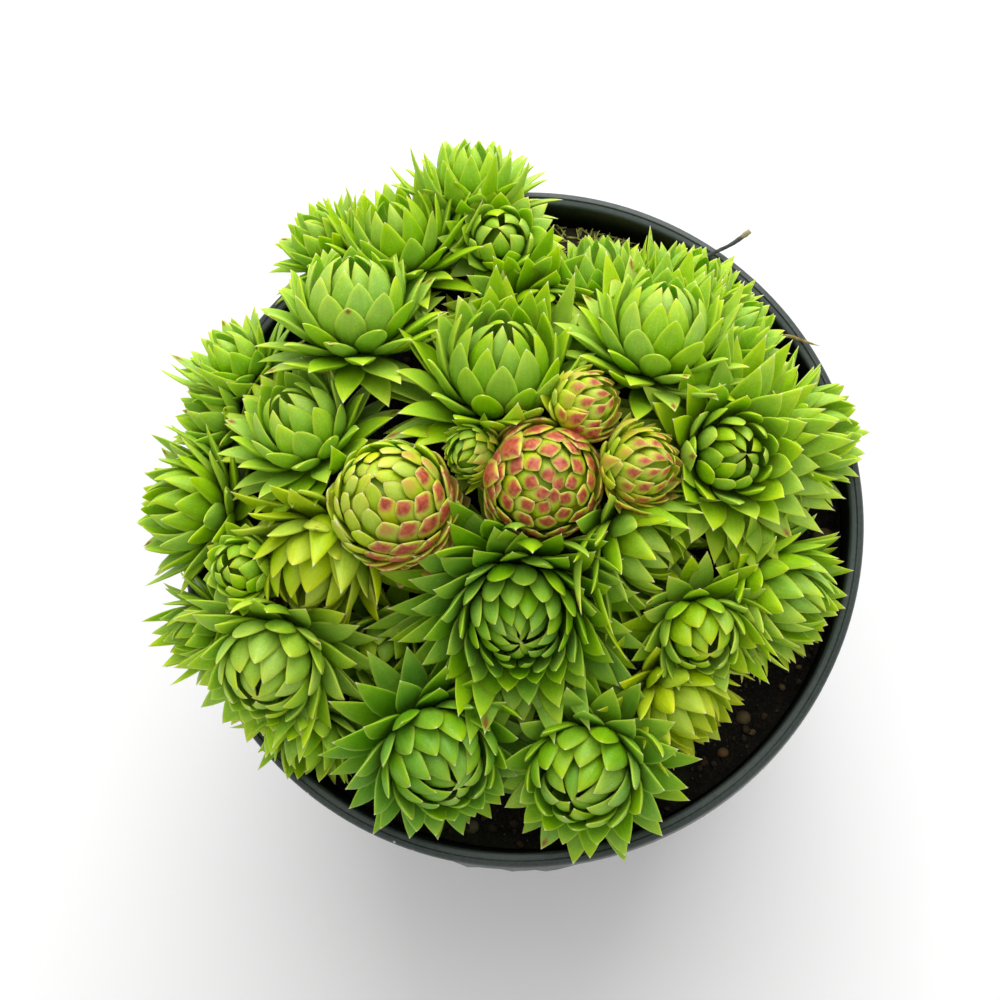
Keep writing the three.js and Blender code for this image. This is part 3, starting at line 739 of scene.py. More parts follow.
# %% [markdown]
# ## Room for every leaf
#
# The rosettes of a clump push each other about. So all of them grow at once, oldest
# leaves last, and a leaf that would run into another rosette is folded inwards,
# twisted and shortened.
#
# To know whether a leaf has room we mark fifteen places on it, and keep the marks
# of all leaves that already stand in a grid of small cells. A new leaf is in the way
# where one of its marks comes near another rosette's. Of all the bends that we try,
# the leaf takes the first that is clear, or else the one that is least in the way.
# A leaf that has hardly any room in its best bend is left out.

# %% Let the leaves find room
CELL = 1.5 * MM
ROOM = 0.9 * MM
MARKS_ALONG = np.array((0.45, 0.6, 0.74, 0.87, 0.98))
MARKS_WIDTH = np.array((0.75, 0.75, 0.6, 0.35, 0.0))
# A bend with so light a touch counts as clear, and one with more than so many isn't
# taken at all. A mark within this share of another rosette's body counts double.
TOUCHES_LIGHT = 1
TOUCHES_ALLOWED = 5
BODY_KEPT = 0.96
# The pot's lip, how far the leaves keep from it, and the soil's smooth mound.
LIP_INNER = 62.2 * MM
LIP_CLEAR = 1.2 * MM
CLEAR = 0.8 * MM
RIM_OUTER = 65 * MM
SOIL_EDGE = 99 * MM
SOIL_MOUND = 19 * MM
SOIL_SLOPE = 1.4
SOIL_RADIUS = 61.2 * MM
BENDS = [
    (fold, twist, shrink)
    for shrink in (1, 0.9, 0.8, 0.7)
    for fold in (0, 0.1, 0.2, -0.1, 0.32, 0.45)
    for twist in (0, 0.12, -0.12)
]
CELLS_AROUND = list(itertools.product((-1, 0, 1), repeat=3))
grid = {}
MIDDLES = np.array([rosette["middle"] for rosette in rosettes])
BODIES = np.array([rosette["body"] * BODY_KEPT for rosette in rosettes])
OWNERS = {rosette["name"]: index for index, rosette in enumerate(rosettes)}


def soil_height(radius):
    """The height of the soil's smooth mound, at a distance from the pot's axis."""
    share = min(radius / SOIL_RADIUS, 1)
    return SOIL_EDGE + SOIL_MOUND * (1 - share * share) ** SOIL_SLOPE


def marks(rosette, leaf, bend):
    """Fifteen places on a leaf: on its spine and beside it."""
    points = spine(rosette, leaf, bend, MARKS_ALONG)
    beside = leaf_side(rosette, leaf, bend) * (leaf["width"] / 2) * MARKS_WIDTH[:, None]
    return np.concatenate([points, points + beside, points - beside])


def cell_of(point):
    """The cell of the grid that a point lies in."""
    return tuple(int(v // CELL) for v in point)


def near_another(place, owner):
    """Whether another rosette's mark lies near a place."""
    home = cell_of(place)
    for step in CELLS_AROUND:
        for other, whose in grid.get(tuple(map(sum, zip(home, step))), ()):
            if whose != owner and sum((place - other) ** 2) < ROOM * ROOM:
                return True
    return False


def touches(places, owner):
    """How many of the places lie near another rosette's, or in it, or in the pot."""
    within = np.linalg.norm(places[:, None] - MIDDLES, axis=2) < BODIES
    within[:, OWNERS[owner]] = False
    count = 2 * int(within[len(MARKS_ALONG):].any(axis=1).sum())
    for place in places:
        radius = math.hypot(place[0], place[1])
        ground = soil_height(radius) if radius < LIP_INNER - LIP_CLEAR else RIM_HEIGHT
        if place[2] < ground + CLEAR and radius < RIM_OUTER + CLEAR:
            count += 2
        elif near_another(place, owner):
            count += 1
    return count


def settle(leaf):
    """Gives a leaf the bend in which it has room, or None where it has none."""
    owner = leaf["rosette"]["name"]
    best, fewest = None, TOUCHES_ALLOWED + 1
    for bend in BENDS:
        places = marks(leaf["rosette"], leaf, bend)
        count = touches(places, owner)
        if count < fewest:
            best, fewest = (bend, places), count
        if fewest <= TOUCHES_LIGHT:
            break
    if best is None:
        return None
    for place in best[1]:
        grid.setdefault(cell_of(place), []).append((place, owner))
    return best[0]


for leaf in leaves:
    leaf["bend"] = settle(leaf)
standing = [leaf for leaf in leaves if leaf["bend"] is not None]
print("leaves standing:", len(standing), "of", len(leaves))

# %% [markdown]
# ## Bending the blanks into rosettes
#
# Each leaf is a copy of a blank. The copy's length follows its spine, its width and
# thickness are scaled to the leaf, and its edges are drawn in towards its face, as
# a leaf cups round the body that it grew against. All the copies of a rosette go
# into one mesh with the rosette's core, its stem and the withered leaves under it.

# %% Bend a leaf and gather a rosette
LEAF_CUP = 0.15
# The red rosettes: which way they blush most, how far a leaf has to face that way
# for the blush to begin and to be full, and how strong it gets.
FLUSH = {
    "28_red_left": ((0.86, -0.5, 0.05), -0.1, 0.4, 1),
    "29_red_centre": ((0.5, 0.1, 0.3), -1.2, -0.5, 1),
    "30_red_small": ((0.9, -0.3, 0.3), -0.5, 0.5, 0.76),
    "31_red_right": ((0.6, -0.3, 0.4), -0.4, 0.7, 0.62),
    "32_small_bud": ((0.6, -0.2, 0.4), -0.4, 0.9, 0.3),
}
FLUSH_AT = 0.9
FLUSH_VARIES = 0.35
# The share of a rosette's older leaves that is scorched, where it isn't the usual one.
SCORCHED_FROM = 0.45
USUALLY_SCORCHED = 0.02
SCORCHED = {"04_back_left_globe": 0.3, "10_right_back_globe": 0.16, "24_left_back_rim": 0.25,
            "25_left_back_low": 0.4, "26_left_globe": 0.12, "03_back_left_rim": 0.15}
# Painted shade: the front rosettes face away from the lamps, so their leaves are painted a
# deeper, darker green; how much their colour draw drops.
PAINTED_SHADE_DROP = {"33_front_largest": 0.9, "17_front_right": 0.8, "18_front_left": 1.3,
          "36_deep_right": 0.6}


def bend_blank(blank, rosette, leaf, thickness, cup):
    """The points of a blank bent along a leaf's spine."""
    shape, bend, roll = blank["points"], leaf["bend"], leaf["roll"]
    points = spine(rosette, leaf, bend, shape[:, 2])
    way = spine(rosette, leaf, bend, shape[:, 2] + NUDGE)
    way -= spine(rosette, leaf, bend, shape[:, 2] - NUDGE)
    way /= np.linalg.norm(way, axis=1)[:, None]
    side = leaf_side(rosette, leaf, bend)[None, :]
    side = side * math.cos(roll) + np.cross(side, way) * math.sin(roll)
    half = leaf["width"] / 2
    depth = -shape[:, 1] * thickness / 2 - cup * half * shape[:, 0] ** 2
    return points + side * (shape[:, 0] * half)[:, None] + np.cross(side, way) * depth[:, None]


def flush_of(leaf):
    """How red a leaf is, from the side of the rosette that it grows on."""
    name = leaf["rosette"]["name"]
    if name not in FLUSH:
        return 0.0
    way, low, high, most = FLUSH[name]
    way = np.array(way) / np.linalg.norm(way)
    tip = spine(leaf["rosette"], leaf, leaf["bend"], [FLUSH_AT])[0] - leaf["rosette"]["middle"]
    facing = float(np.dot(tip / np.linalg.norm(tip), way)) + FLUSH_VARIES * (leaf["draw"] - 0.5)
    share = min(max((facing - low) / (high - low), 0), 1)
    return most * share * share * (3 - 2 * share)


class Gathered:
    """Points, faces and stored values of all that goes into one piece."""

    def __init__(self):
        self.points, self.faces, self.place, self.kind, self.worn = [], [], [], [], []
        self.count = 0

    def add(self, points, faces, place, kind, worn):
        """Adds a shape. Each stored value is one for all its points, or one for each."""
        self.faces += [tuple(corner + self.count for corner in face) for face in faces]
        self.points.append(points)
        for kept, value in ((self.place, place), (self.kind, kind), (self.worn, worn)):
            kept.append(np.broadcast_to(value, points.shape))
        self.count += len(points)

    def make(self, name, material):
        """The piece that holds all that was added."""
        mesh = bpy.data.meshes.new(name)
        mesh.from_pydata(np.concatenate(self.points).tolist(), [], self.faces)
        stored = {"place": self.place, "kind": self.kind, "worn": self.worn}
        for label, values in stored.items():
            layer = mesh.attributes.new(label, "FLOAT_VECTOR", "POINT")
            layer.data.foreach_set("vector", np.concatenate(values).ravel())
        mesh.polygons.foreach_set("use_smooth", [True] * len(mesh.polygons))
        mesh.materials.append(material)
        piece = bpy.data.objects.new(name, mesh)
        bpy.context.scene.collection.objects.link(piece)
        return piece


def add_leaf(gathered, leaf):
    """A leaf of a rosette, with the values that its finish reads."""
    name, form = leaf["rosette"]["name"], leaf["rosette"]["form"]
    blank = BLANKS[form["blank"]]
    points = bend_blank(blank, leaf["rosette"], leaf, form["flesh"] * leaf["width"], LEAF_CUP)
    scorched = leaf["age"] > SCORCHED_FROM and leaf["tint"] < SCORCHED.get(name, USUALLY_SCORCHED)
    # The colour draw of the front rosettes' leaves is lowered, which paints shade on them.
    kind = (leaf["age"], leaf["draw"] - PAINTED_SHADE_DROP.get(name, 0), flush_of(leaf))
    gathered.add(points, blank["faces"], blank["place"], kind, (0, float(scorched), leaf["tint"]))


print("red rosettes:", sorted(FLUSH))

# %% [markdown]
# ## Core and stem
#
# Under its leaves a rosette has a short thick core, and below that a stem, ringed
# by the scars of leaves that have dropped. The core is a ball that is drawn out a
# little. The stem is a straw: a disc that is extruded many times and pinched at each
# second cut. Both are modelled once and copied to each rosette. The straw's function
# will also make the moss and the dry scraps, which are straws of other widths.

# %% Model the core and the stem
STEM_RADIUS = 1.7 * MM
STEM_CUTS = 15
STEM_PINCH = 0.86
STEM_SIDES = 10
STEM_DEPTH = 9 * MM
STEM_STEP = 0.2 * MM
CORE_SIDES = 16
CORE_RINGS = 10
CORE_DRAWN = (0.8, 0.8, 1.3)


def model_straw(name, sides, widths, leans=None):
    """A straw of unit length along +Z, with a width, and a step to +X, at each cut."""
    stand_alone()
    bpy.ops.mesh.primitive_circle_add(vertices=sides, radius=widths[0], fill_type="NGON")
    straw = open_up(name)
    cuts = len(widths) - 1
    middle = 0
    for cut, lean in enumerate(leans or [0] * cuts):
        middle += lean
        pull(lean, 0, 1 / cuts)
        wider = widths[cut + 1] / widths[cut]
        widen(wider, wider, 1, (middle, 0, (cut + 1) / cuts))
    close_up()
    return read_plain(straw)


def model_core():
    """A ball of unit radius that is drawn out downwards."""
    stand_alone()
    bpy.ops.mesh.primitive_uv_sphere_add(segments=CORE_SIDES, ring_count=CORE_RINGS, radius=1)
    core = open_up("core")
    select_where(core.data, lambda at: at.z < -0.01)
    widen(*CORE_DRAWN)
    close_up()
    return read_plain(core)


def turned_to(way):
    """The turn that brings +Z to a direction, as an array."""
    return np.array(Vector(way).to_track_quat("Z", "Y").to_matrix())


def add_core(gathered, rosette):
    """A rosette's core, under its leaves."""
    size = rosette["body"] * rosette["form"]["core"]
    points = CORE["points"] * size @ turned_to(rosette["axis"]).T + rosette["middle"]
    gathered.add(points, CORE["faces"], (0, 0.25, 1), (0.9, 0.1, 0), (0, 0, 0.5))


def add_stem(gathered, rosette):
    """A rosette's stem, from its middle down into the soil."""
    way = STEM_FOCUS - rosette["middle"]
    way = way / np.linalg.norm(way)
    length = 0.0
    foot = rosette["middle"]
    while foot[2] > soil_height(math.hypot(foot[0], foot[1])) - STEM_DEPTH:
        length += STEM_STEP
        foot = rosette["middle"] + way * length
    shape = STEM["points"] * (STEM_RADIUS, STEM_RADIUS, length)
    points = shape @ turned_to(way).T + rosette["middle"]
    gathered.add(points, STEM["faces"], (0, 0.3, 1), (1, 0.2, 0), (0.82, 0, 0.5))


stem_widths = [1 / STEM_PINCH if cut % 2 else 1 for cut in range(STEM_CUTS + 1)]
STEM = model_straw("stem", STEM_SIDES, stem_widths)
CORE = model_core()
print("stem:", len(STEM["faces"]), "faces, core:", len(CORE["faces"]), "faces")

# %% [markdown]
# ## All the rosettes
#
# Each rosette becomes one piece. It has the finish of its kind and stands for the
# solid of the same name. A few thin dry leaves hang round the top of its stem.

# %% Make the rosettes
NODE_SLOTS = {part["node"]: part["material_slot"] for part in frame["record"]["subparts"]}
WITHERED = 7
WITHERED_TOUCHES = 2
WITHERED_WIDE = 0.16
WITHERED_THIN = 0.12
WITHERED_CUP = 0.55


def add_withered(gathered, index, rosette):
    """A skirt of thin dry leaves that hangs round the top of the stem."""
    draw = random.Random(900 + index)
    blank = BLANKS["pointed"]
    for i in range(WITHERED):
        leaf = {"age": 1.0, "turn": i * GOLDEN_ANGLE, "sway": draw.uniform(0.1, 0.45),
                "stretch": draw.uniform(0.5, 0.72), "roll": draw.uniform(-0.7, 0.7),
                "width": WITHERED_WIDE * rosette["spread"] * draw.uniform(0.7, 1),
                "bend": (0, 0, draw.uniform(0.7, 0.9))}
        if touches(marks(rosette, leaf, leaf["bend"]), rosette["name"]) <= WITHERED_TOUCHES:
            points = bend_blank(blank, rosette, leaf, WITHERED_THIN * leaf["width"], WITHERED_CUP)
            gathered.add(points, blank["faces"], blank["place"], (1, draw.random(), 0),
                         (1, 0, draw.random()))


def hand_over(piece, node=None):
    """Hangs a piece on the root body, and hides the solid that it replaces, where one is given.
    """
    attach(piece, "root")
    if node:
        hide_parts(node)


pieces = []
for index, rosette in enumerate(rosettes):
    node = "rosette_" + rosette["name"]
    gathered = Gathered()
    for leaf in standing:
        if leaf["rosette"] is rosette:
            add_leaf(gathered, leaf)
    add_core(gathered, rosette)
    add_stem(gathered, rosette)
    add_withered(gathered, index, rosette)
    piece = gathered.make("houseleek_" + rosette["name"], LEAF_FINISHES[NODE_SLOTS[node]])
    hand_over(piece, node)
    pieces.append(piece)
print("rosette pieces:", len(pieces), "faces:", sum(len(p.data.polygons) for p in pieces))

# %% [markdown]
# ## The pot
#
# The pot is one thin moulded shell: a tapered wall, a proud band with rounded edges
# round its top, and a flat floor with drainage holes. It could be two cones and a
# Boolean, but then every edge would be sharp. Instead we draw its outline once, as
# the mould maker would, by extruding a single point from the middle of the floor out,
# up, over the rim and back, and we spin that outline. The rounds are arcs. Only the
# drainage holes are cut, and the mould's seam leaves a ragged flash at the front.

# %% Model the pot
BASE_RADIUS = 46 * MM
WALL = 1.6 * MM
FLOOR = 1.8 * MM
LIP_PROUD = 1.2 * MM
LIP_BOTTOM = 102 * MM
LIP_EDGE = 0.6 * MM
LIP_ROUND = 1.1 * MM
LIP_INSIDE = 0.7 * MM
LIP_STEP = 0.22 * MM
LIP_FLAT = 0.3 * MM
MERGE_WITHIN = 0.01 * MM
FOOT_ROUND = 1.5 * MM
INSIDE_ROUND = 2 * MM
POT_STEPS = 192
SMOOTH_BELOW = math.radians(32)
DRAIN_COUNT = 8
DRAIN_SIDES = 24
DRAIN_RADIUS = 4 * MM
DRAIN_CIRCLE = 35 * MM
FLASH_FROM = math.radians(-101)
FLASH_TO = math.radians(-82)
FLASH_LOW = LIP_BOTTOM + 0.1 * MM
FLASH_HIGH = LIP_BOTTOM + 1.2 * MM
FLASH_PROUD = 0.55 * MM
FLASH_WAVE = 0.9


def pot_outside(height):
    """The outer radius of the pot's wall at a height."""
    return mix(BASE_RADIUS, RIM_OUTER - LIP_PROUD, height / LIP_BOTTOM)


def arc(middle, radius, start, stop, steps=4):
    """Points of radius and height on a round, between two angles in degrees."""
    turns = [math.radians(mix(start, stop, i / steps)) for i in range(steps + 1)]
    return [(middle[0] + radius * math.cos(t), middle[1] + radius * math.sin(t)) for t in turns]


def pot_outline():
    """The pot's section, from the middle of its underside round to that of its floor."""
    inside = pot_outside(FLOOR) - WALL
    return [
        (0, 0),
        *arc((BASE_RADIUS - FOOT_ROUND, FOOT_ROUND), FOOT_ROUND, -90, 0),
        (pot_outside(LIP_BOTTOM * 0.5), LIP_BOTTOM * 0.5),
        (pot_outside(LIP_BOTTOM), LIP_BOTTOM),
        *arc((RIM_OUTER - LIP_EDGE, LIP_BOTTOM + LIP_EDGE), LIP_EDGE, -90, 0),
        *arc((RIM_OUTER - LIP_ROUND, RIM_HEIGHT - LIP_ROUND), LIP_ROUND, 0, 90),
        (RIM_OUTER - LIP_ROUND - LIP_FLAT, RIM_HEIGHT - LIP_STEP),
        *arc((LIP_INNER + LIP_INSIDE, RIM_HEIGHT - LIP_STEP - LIP_INSIDE), LIP_INSIDE, 90, 180),
        (LIP_INNER, LIP_BOTTOM),
        *arc((inside - INSIDE_ROUND, FLOOR + INSIDE_ROUND), INSIDE_ROUND, 0, -90),
        (0, FLOOR),
    ]


def spin_outline(name, outline, steps):
    """A closed shell from an outline of radius and height that begins at the origin."""
    stand_alone()
    bpy.ops.mesh.primitive_circle_add(vertices=3, radius=1 * MM)
    shell = open_up(name)
    bpy.ops.mesh.merge(type="CENTER")
    for (radius, height), (next_radius, next_height) in zip(outline, outline[1:]):
        pull(next_radius - radius, 0, next_height - height)
    bpy.ops.mesh.select_all(action="SELECT")
    bpy.ops.mesh.spin(steps=steps, angle=2 * math.pi, center=(0, 0, 0), axis=(0, 0, 1))
    bpy.ops.mesh.select_all(action="SELECT")
    bpy.ops.mesh.remove_doubles(threshold=MERGE_WITHIN)
    close_up()
    return shell


def cut_drains(shell):
    """Cuts the ring of drainage holes through the floor."""
    drills = []
    for hole in range(DRAIN_COUNT):
        turn = 2 * math.pi * hole / DRAIN_COUNT
        place = (DRAIN_CIRCLE * math.cos(turn), DRAIN_CIRCLE * math.sin(turn), FLOOR / 2)
        bpy.ops.mesh.primitive_cylinder_add(
            vertices=DRAIN_SIDES, radius=DRAIN_RADIUS, depth=3 * FLOOR, location=place)
        drills.append(bpy.context.object)
    stand_alone(drills[0])
    for drill in drills:
        drill.select_set(True)
    bpy.ops.object.join()
    stand_alone(shell)
    cut = shell.modifiers.new("drains", "BOOLEAN")
    cut.operation = "DIFFERENCE"
    cut.solver = "EXACT"
    cut.object = drills[0]
    bpy.ops.object.modifier_apply(modifier=cut.name)
    bpy.data.objects.remove(drills[0])


def raise_flash(shell):
    """Pushes the lower edge of the band out raggedly where the mould has leaked."""
    for vert in shell.data.vertices:
        turn = math.atan2(vert.co.y, vert.co.x)
        low = FLASH_LOW < vert.co.z < FLASH_HIGH
        if low and FLASH_FROM < turn < FLASH_TO and vert.co.xy.length > RIM_OUTER - LIP_EDGE:
            ragged = 0.5 + noise.noise(vert.co / MM * FLASH_WAVE)
            vert.co.xy *= 1 + max(0, ragged) * FLASH_PROUD / RIM_OUTER


pot = spin_outline("nursery_pot", pot_outline(), POT_STEPS)
cut_drains(pot)
raise_flash(pot)
stand_alone(pot)
bpy.ops.object.shade_smooth_by_angle(angle=SMOOTH_BELOW)
hand_over(pot, "pot")
print("pot:", len(pot.data.polygons), "faces, size", tuple(round(v, 4) for v in pot.dimensions))

# %% [markdown]
# ## The pot's finish
#
# The plastic is nearly black with a little green in it, and satin rather than shiny.
# What makes it real is what has settled on it: a thin film of dust in clouds, white
# specks of lime where water has dried, fine scratches that run round the band, and a
# tide of soil on the inside of the wall, just above the soil.

# %% Make the pot's finish
PLASTIC = paint(38, 48, 45)
PLASTIC_DUSTY = paint(92, 104, 98)
PLASTIC_INSIDE = paint(40, 50, 46)
LIME = paint(216, 220, 208)
SOIL_STAIN = paint(38, 32, 24)
# What is inside of the middle of the wall is the pot's inside.
WALL_SLOPE = (RIM_OUTER - LIP_PROUD - BASE_RADIUS) / LIP_BOTTOM
WALL_MOST = LIP_INNER + 0.7 * MM
TIDE_FROM = (90 * MM, 92 * MM)
TIDE_TO = (101.5 * MM, 105.5 * MM)
TIDE_WAVY = 6 * MM


def pot_finish():
    """Nearly black plastic, with what has settled on it."""
    plastic = Finish("pot_plastic")
    where = plastic.here()
    x, y, z = plastic.parts(where)
    clouds = plastic.speckle(where, 45, 5.0)
    fine = plastic.speckle(where, 1400, 2.0)
    mapped = {"Vector": where, "Scale": (60, 60, 2600)}
    stretched = plastic.node("Mapping", {}, mapped)
    scratches = plastic.speckle(stretched, 1, 3.0, 0.7)
    cells = {"Vector": where, "Scale": 300, "Randomness": 1}
    apart = plastic.node("TexVoronoi", {}, cells, "Distance")
    chance = plastic.parts(plastic.node("TexVoronoi", {}, cells, "Color"))[0]
    specks = (1 - apart.rise(0.05, 0.13)) * chance.rise(0.9, 0.92)
    radius = plastic.math("SQRT", x * x + y * y)
    wall = plastic.math("MINIMUM", BASE_RADIUS - WALL / 2 + z * WALL_SLOPE, WALL_MOST)
    inside = 1 - (radius - wall).rise(-0.3 * MM, 0.3 * MM)
    dust = (0.5 * clouds + 0.5 * fine).rise(0.25, 0.8) * 0.38 + scratches.rise(0.62, 0.8) * 0.16
    colour = plastic.blend(dust, PLASTIC, PLASTIC_DUSTY)
    colour = plastic.blend(inside * 0.8, colour, PLASTIC_INSIDE)
    low = 1 - (z + TIDE_WAVY * clouds).rise(*TIDE_TO)
    tide = inside * low * z.rise(*TIDE_FROM) * fine.rise(0.35, 0.6)
    colour = plastic.blend(tide, colour, SOIL_STAIN)
    colour = plastic.blend(specks * 0.85, colour, LIME)
    height = scratches * 0.35 + fine * 0.4 + specks
    return plastic.finish(
        Base_Color=colour,
        Roughness=0.4 + 0.12 * clouds + 0.3 * specks,
        Specular_IOR_Level=0.5,
        Normal=plastic.bump(height, 0.25, 0.2 * MM),
    )


pot.data.materials.clear()
pot.data.materials.append(pot_finish())
print("pot finish:", pot.data.materials[0].name)

# %% [markdown]
# ## The soil
#
# Compost is not a smooth mound. It has hollows between its lumps, and it has shrunk
# from the wall a little. We start from a disc, inset it again and again so that it
# gets rings of faces, and extrude its rim down the wall to the floor. Every point
# of the top is then raised by the height of the mound and by noise at two scales.

# %% Model the soil
SOIL_STEPS = 240
SOIL_RING_FINE = 0.9 * MM
SOIL_RING_COARSE = 3 * MM
SOIL_FINE_RINGS = 34
SOIL_COARSE_RINGS = 9
LUMP_WAVE = 0.22
LUMP_HEIGHT = 0.8 * MM
CRUMB_WAVE = 0.9
CRUMB_HEIGHT = 0.35 * MM
SOIL_CLEARANCE = 0.3 * MM


def soil_top(x, y):
    """The height of the soil's surface at a place, lumps and all."""
    place = Vector((x, y, 0)) / MM
    lumps = LUMP_HEIGHT * noise.noise(place * LUMP_WAVE)
    crumbs = CRUMB_HEIGHT * noise.noise(place * CRUMB_WAVE)
    return soil_height(math.hypot(x, y)) + lumps + crumbs


def model_soil():
    """The body of compost, open to the lumps on its top and plain below."""
    stand_alone()
    bpy.ops.mesh.primitive_circle_add(vertices=SOIL_STEPS, radius=SOIL_RADIUS,
                                      fill_type="NGON", location=(0, 0, SOIL_EDGE))
    bpy.ops.object.transform_apply(location=True, rotation=False, scale=False)
    soil = open_up("compost", by="FACE")
    for wide in [SOIL_RING_FINE] * SOIL_FINE_RINGS + [SOIL_RING_COARSE] * SOIL_COARSE_RINGS:
        bpy.ops.mesh.inset(thickness=wide, use_even_offset=False)
    bpy.ops.mesh.poke()
    bpy.ops.mesh.select_mode(type="EDGE")
    bpy.ops.mesh.select_all(action="DESELECT")
    bpy.ops.mesh.select_non_manifold(extend=False)
    pull(0, 0, FLOOR - SOIL_EDGE)
    foot = (pot_outside(FLOOR) - WALL - SOIL_CLEARANCE) / SOIL_RADIUS
    widen(foot, foot, 1, (0, 0, FLOOR))
    bpy.ops.mesh.edge_face_add()
    close_up()
    for vert in soil.data.vertices:
        if vert.co.z > SOIL_EDGE - 1 * MM:
            vert.co.z = soil_top(vert.co.x, vert.co.y)
    return soil


soil = model_soil()
hand_over(soil, "soil")
print("soil:", len(soil.data.polygons), "faces")

# %% [markdown]
# ## Crumbs, grit and pebbles
#
# Where the clump leaves the soil open, it is strewn with crumbs of bark, grains of
# grit and a few pebbles. A crumb starts as the roughest ball there is, of twenty
# faces, which is squashed and has its points shaken. Six such crumbs are modelled,
# and strewn by the thousand. The pebbles get one more round of smooth subdivision.

# %% Model crumbs and pebbles
CRUMB_KINDS = 6
CRUMBS = 2400
CRUMB_SMALL = 0.22 * MM
CRUMB_LARGE = 1.25 * MM
OPEN_FROM = 26 * MM
OPEN_TO = 60.4 * MM
CRUMB_RARE = 2.2
CRUMB_SHAKEN = 0.3
CRUMB_LIFT = 0.25
# Each pebble's radius and place, in millimetres.
PEBBLES = [
    (2.1, 57.8, -1.8), (1.6, 42, -36.4), (1.2, 38, -43), (1.5, 19.6, 55),
    (1.6, 26.4, 52), (1.5, -10, -57), (1.6, -41, 40), (1.4, 52, 26),
]
PEBBLE_SHAKEN = 0.12
PEBBLE_LIFT = 0.1
ROUNDED = 3
# What a crumb or strand stores where it has nothing to say.
NOTHING = (0.0, 0.0, 0.0)


def model_lump(name, seed, shaken, smooth):
    """A rough ball of unit radius; smooth is how often it is subdivided."""
    stand_alone()
    bpy.ops.mesh.primitive_ico_sphere_add(subdivisions=1, radius=1)
    lump = open_up(name)
    bpy.ops.transform.vertex_random(offset=shaken, uniform=0.5, seed=seed)
    widen(1, 0.85, 0.7)
    if smooth:
        bpy.ops.mesh.subdivide(number_cuts=smooth, smoothness=1)
    close_up()
    return read_plain(lump)


def turned_by(draw):
    """A free turn, as an array."""
    turns = [Matrix.Rotation(draw.uniform(0, 2 * math.pi), 3, axis) for axis in "XYZ"]
    return np.array(turns[0] @ turns[1] @ turns[2])


def strew_crumbs():
    """Crumbs of every size, most of them small, all over the open soil."""
    draw = random.Random(41)
    kinds = [model_lump("crumb", seed, CRUMB_SHAKEN, 0) for seed in range(CRUMB_KINDS)]
    gathered = Gathered()
    for _ in range(CRUMBS):
        radius = math.sqrt(draw.uniform(OPEN_FROM ** 2, OPEN_TO ** 2))
        turn = draw.uniform(0, 2 * math.pi)
        x, y = radius * math.cos(turn), radius * math.sin(turn)
        size = CRUMB_SMALL * (CRUMB_LARGE / CRUMB_SMALL) ** (draw.random() ** CRUMB_RARE)
        shape = draw.choice(kinds)
        points = shape["points"] * size @ turned_by(draw).T
        points = points + (x, y, soil_top(x, y) + CRUMB_LIFT * size)
        gathered.add(points, shape["faces"], NOTHING, (draw.random(), draw.random(), 0), NOTHING)
    return gathered


def seat_pebbles():
    """The pebbles, each half sunk where the photograph has it."""
    draw = random.Random(43)
    gathered = Gathered()
    for index, (radius, x, y) in enumerate(PEBBLES):
        shape = model_lump("pebble", 20 + index, PEBBLE_SHAKEN, ROUNDED)
        turn = np.array(Matrix.Rotation(draw.uniform(0, 2 * math.pi), 3, "Z"))
        points = shape["points"] * radius * MM @ turn.T
        height = soil_height(math.hypot(x, y) * MM) + PEBBLE_LIFT * radius * MM
        points = points + (x * MM, y * MM, height)
        kind = (draw.random(), 0.5 + 0.5 * draw.random(), 1)
        gathered.add(points, shape["faces"], NOTHING, kind, NOTHING)
    return gathered


crumbs = strew_crumbs()
pebbles = seat_pebbles()
print("crumbs:", CRUMBS, "faces:", len(crumbs.faces), "pebble faces:", len(pebbles.faces))

# %% [markdown]
# ## Moss
#
# At the back, where the soil is open and damp, moss has crept in: pale, curly
# strands, mostly lying down, on low dark mounds. One strand is a three-sided straw
# of four cuts, each thinner than the last and leaning further over. It is
# copied in small tufts. What would reach into the pot's wall is drawn in from it.

# %% Model the moss
MOSS_TUFTS = 120
MOSS_STRANDS = 9
MOSS_LONG = 3.2 * MM
MOSS_THICK = 0.3 * MM
MOSS_WIDTHS = [0.8 ** cut for cut in range(5)]
MOSS_LEANS = [0.05 * cut * cut for cut in range(1, 5)]
MOSS_CURL = 0.5
TUFT_SPREAD = 0.8 * MM
TUFT_LIFT = 0.3 * MM
# Where the moss grows: the compass of each patch, how far out it lies, and its reach.
MOSS_PATCHES = [(80, 55, 6), (72, 55, 5), (64, 54, 5), (88, 54, 4), (56, 55, 3)]
MOSS_HIGH = 6 * MM
CUSHION_WIDER = 1.4
CUSHION_SHAPE = np.array((0.94, 1.1, 1.1))
CUSHIONS = [
    (far * MM * math.cos(math.radians(compass)), far * MM * math.sin(math.radians(compass)),
     reach * MM * CUSHION_WIDER)
    for compass, far, reach in MOSS_PATCHES
]


def moss_top(x, y):
    """How high the ground is, with its cushions of moss."""
    ground = soil_top(x, y)
    top = ground
    for middle_x, middle_y, wide in CUSHIONS:
        apart = math.hypot(x - middle_x, y - middle_y) / wide
        if apart < 1:
            top = max(top, ground + MOSS_HIGH * math.sqrt(1 - apart * apart))
    return top


def clear_of_wall(points):
    """Draws points in from the pot's wall."""
    radius = np.hypot(points[:, 0], points[:, 1])
    points[:, :2] *= np.minimum(1, OPEN_TO / np.maximum(radius, OPEN_TO))[:, None]
    return points


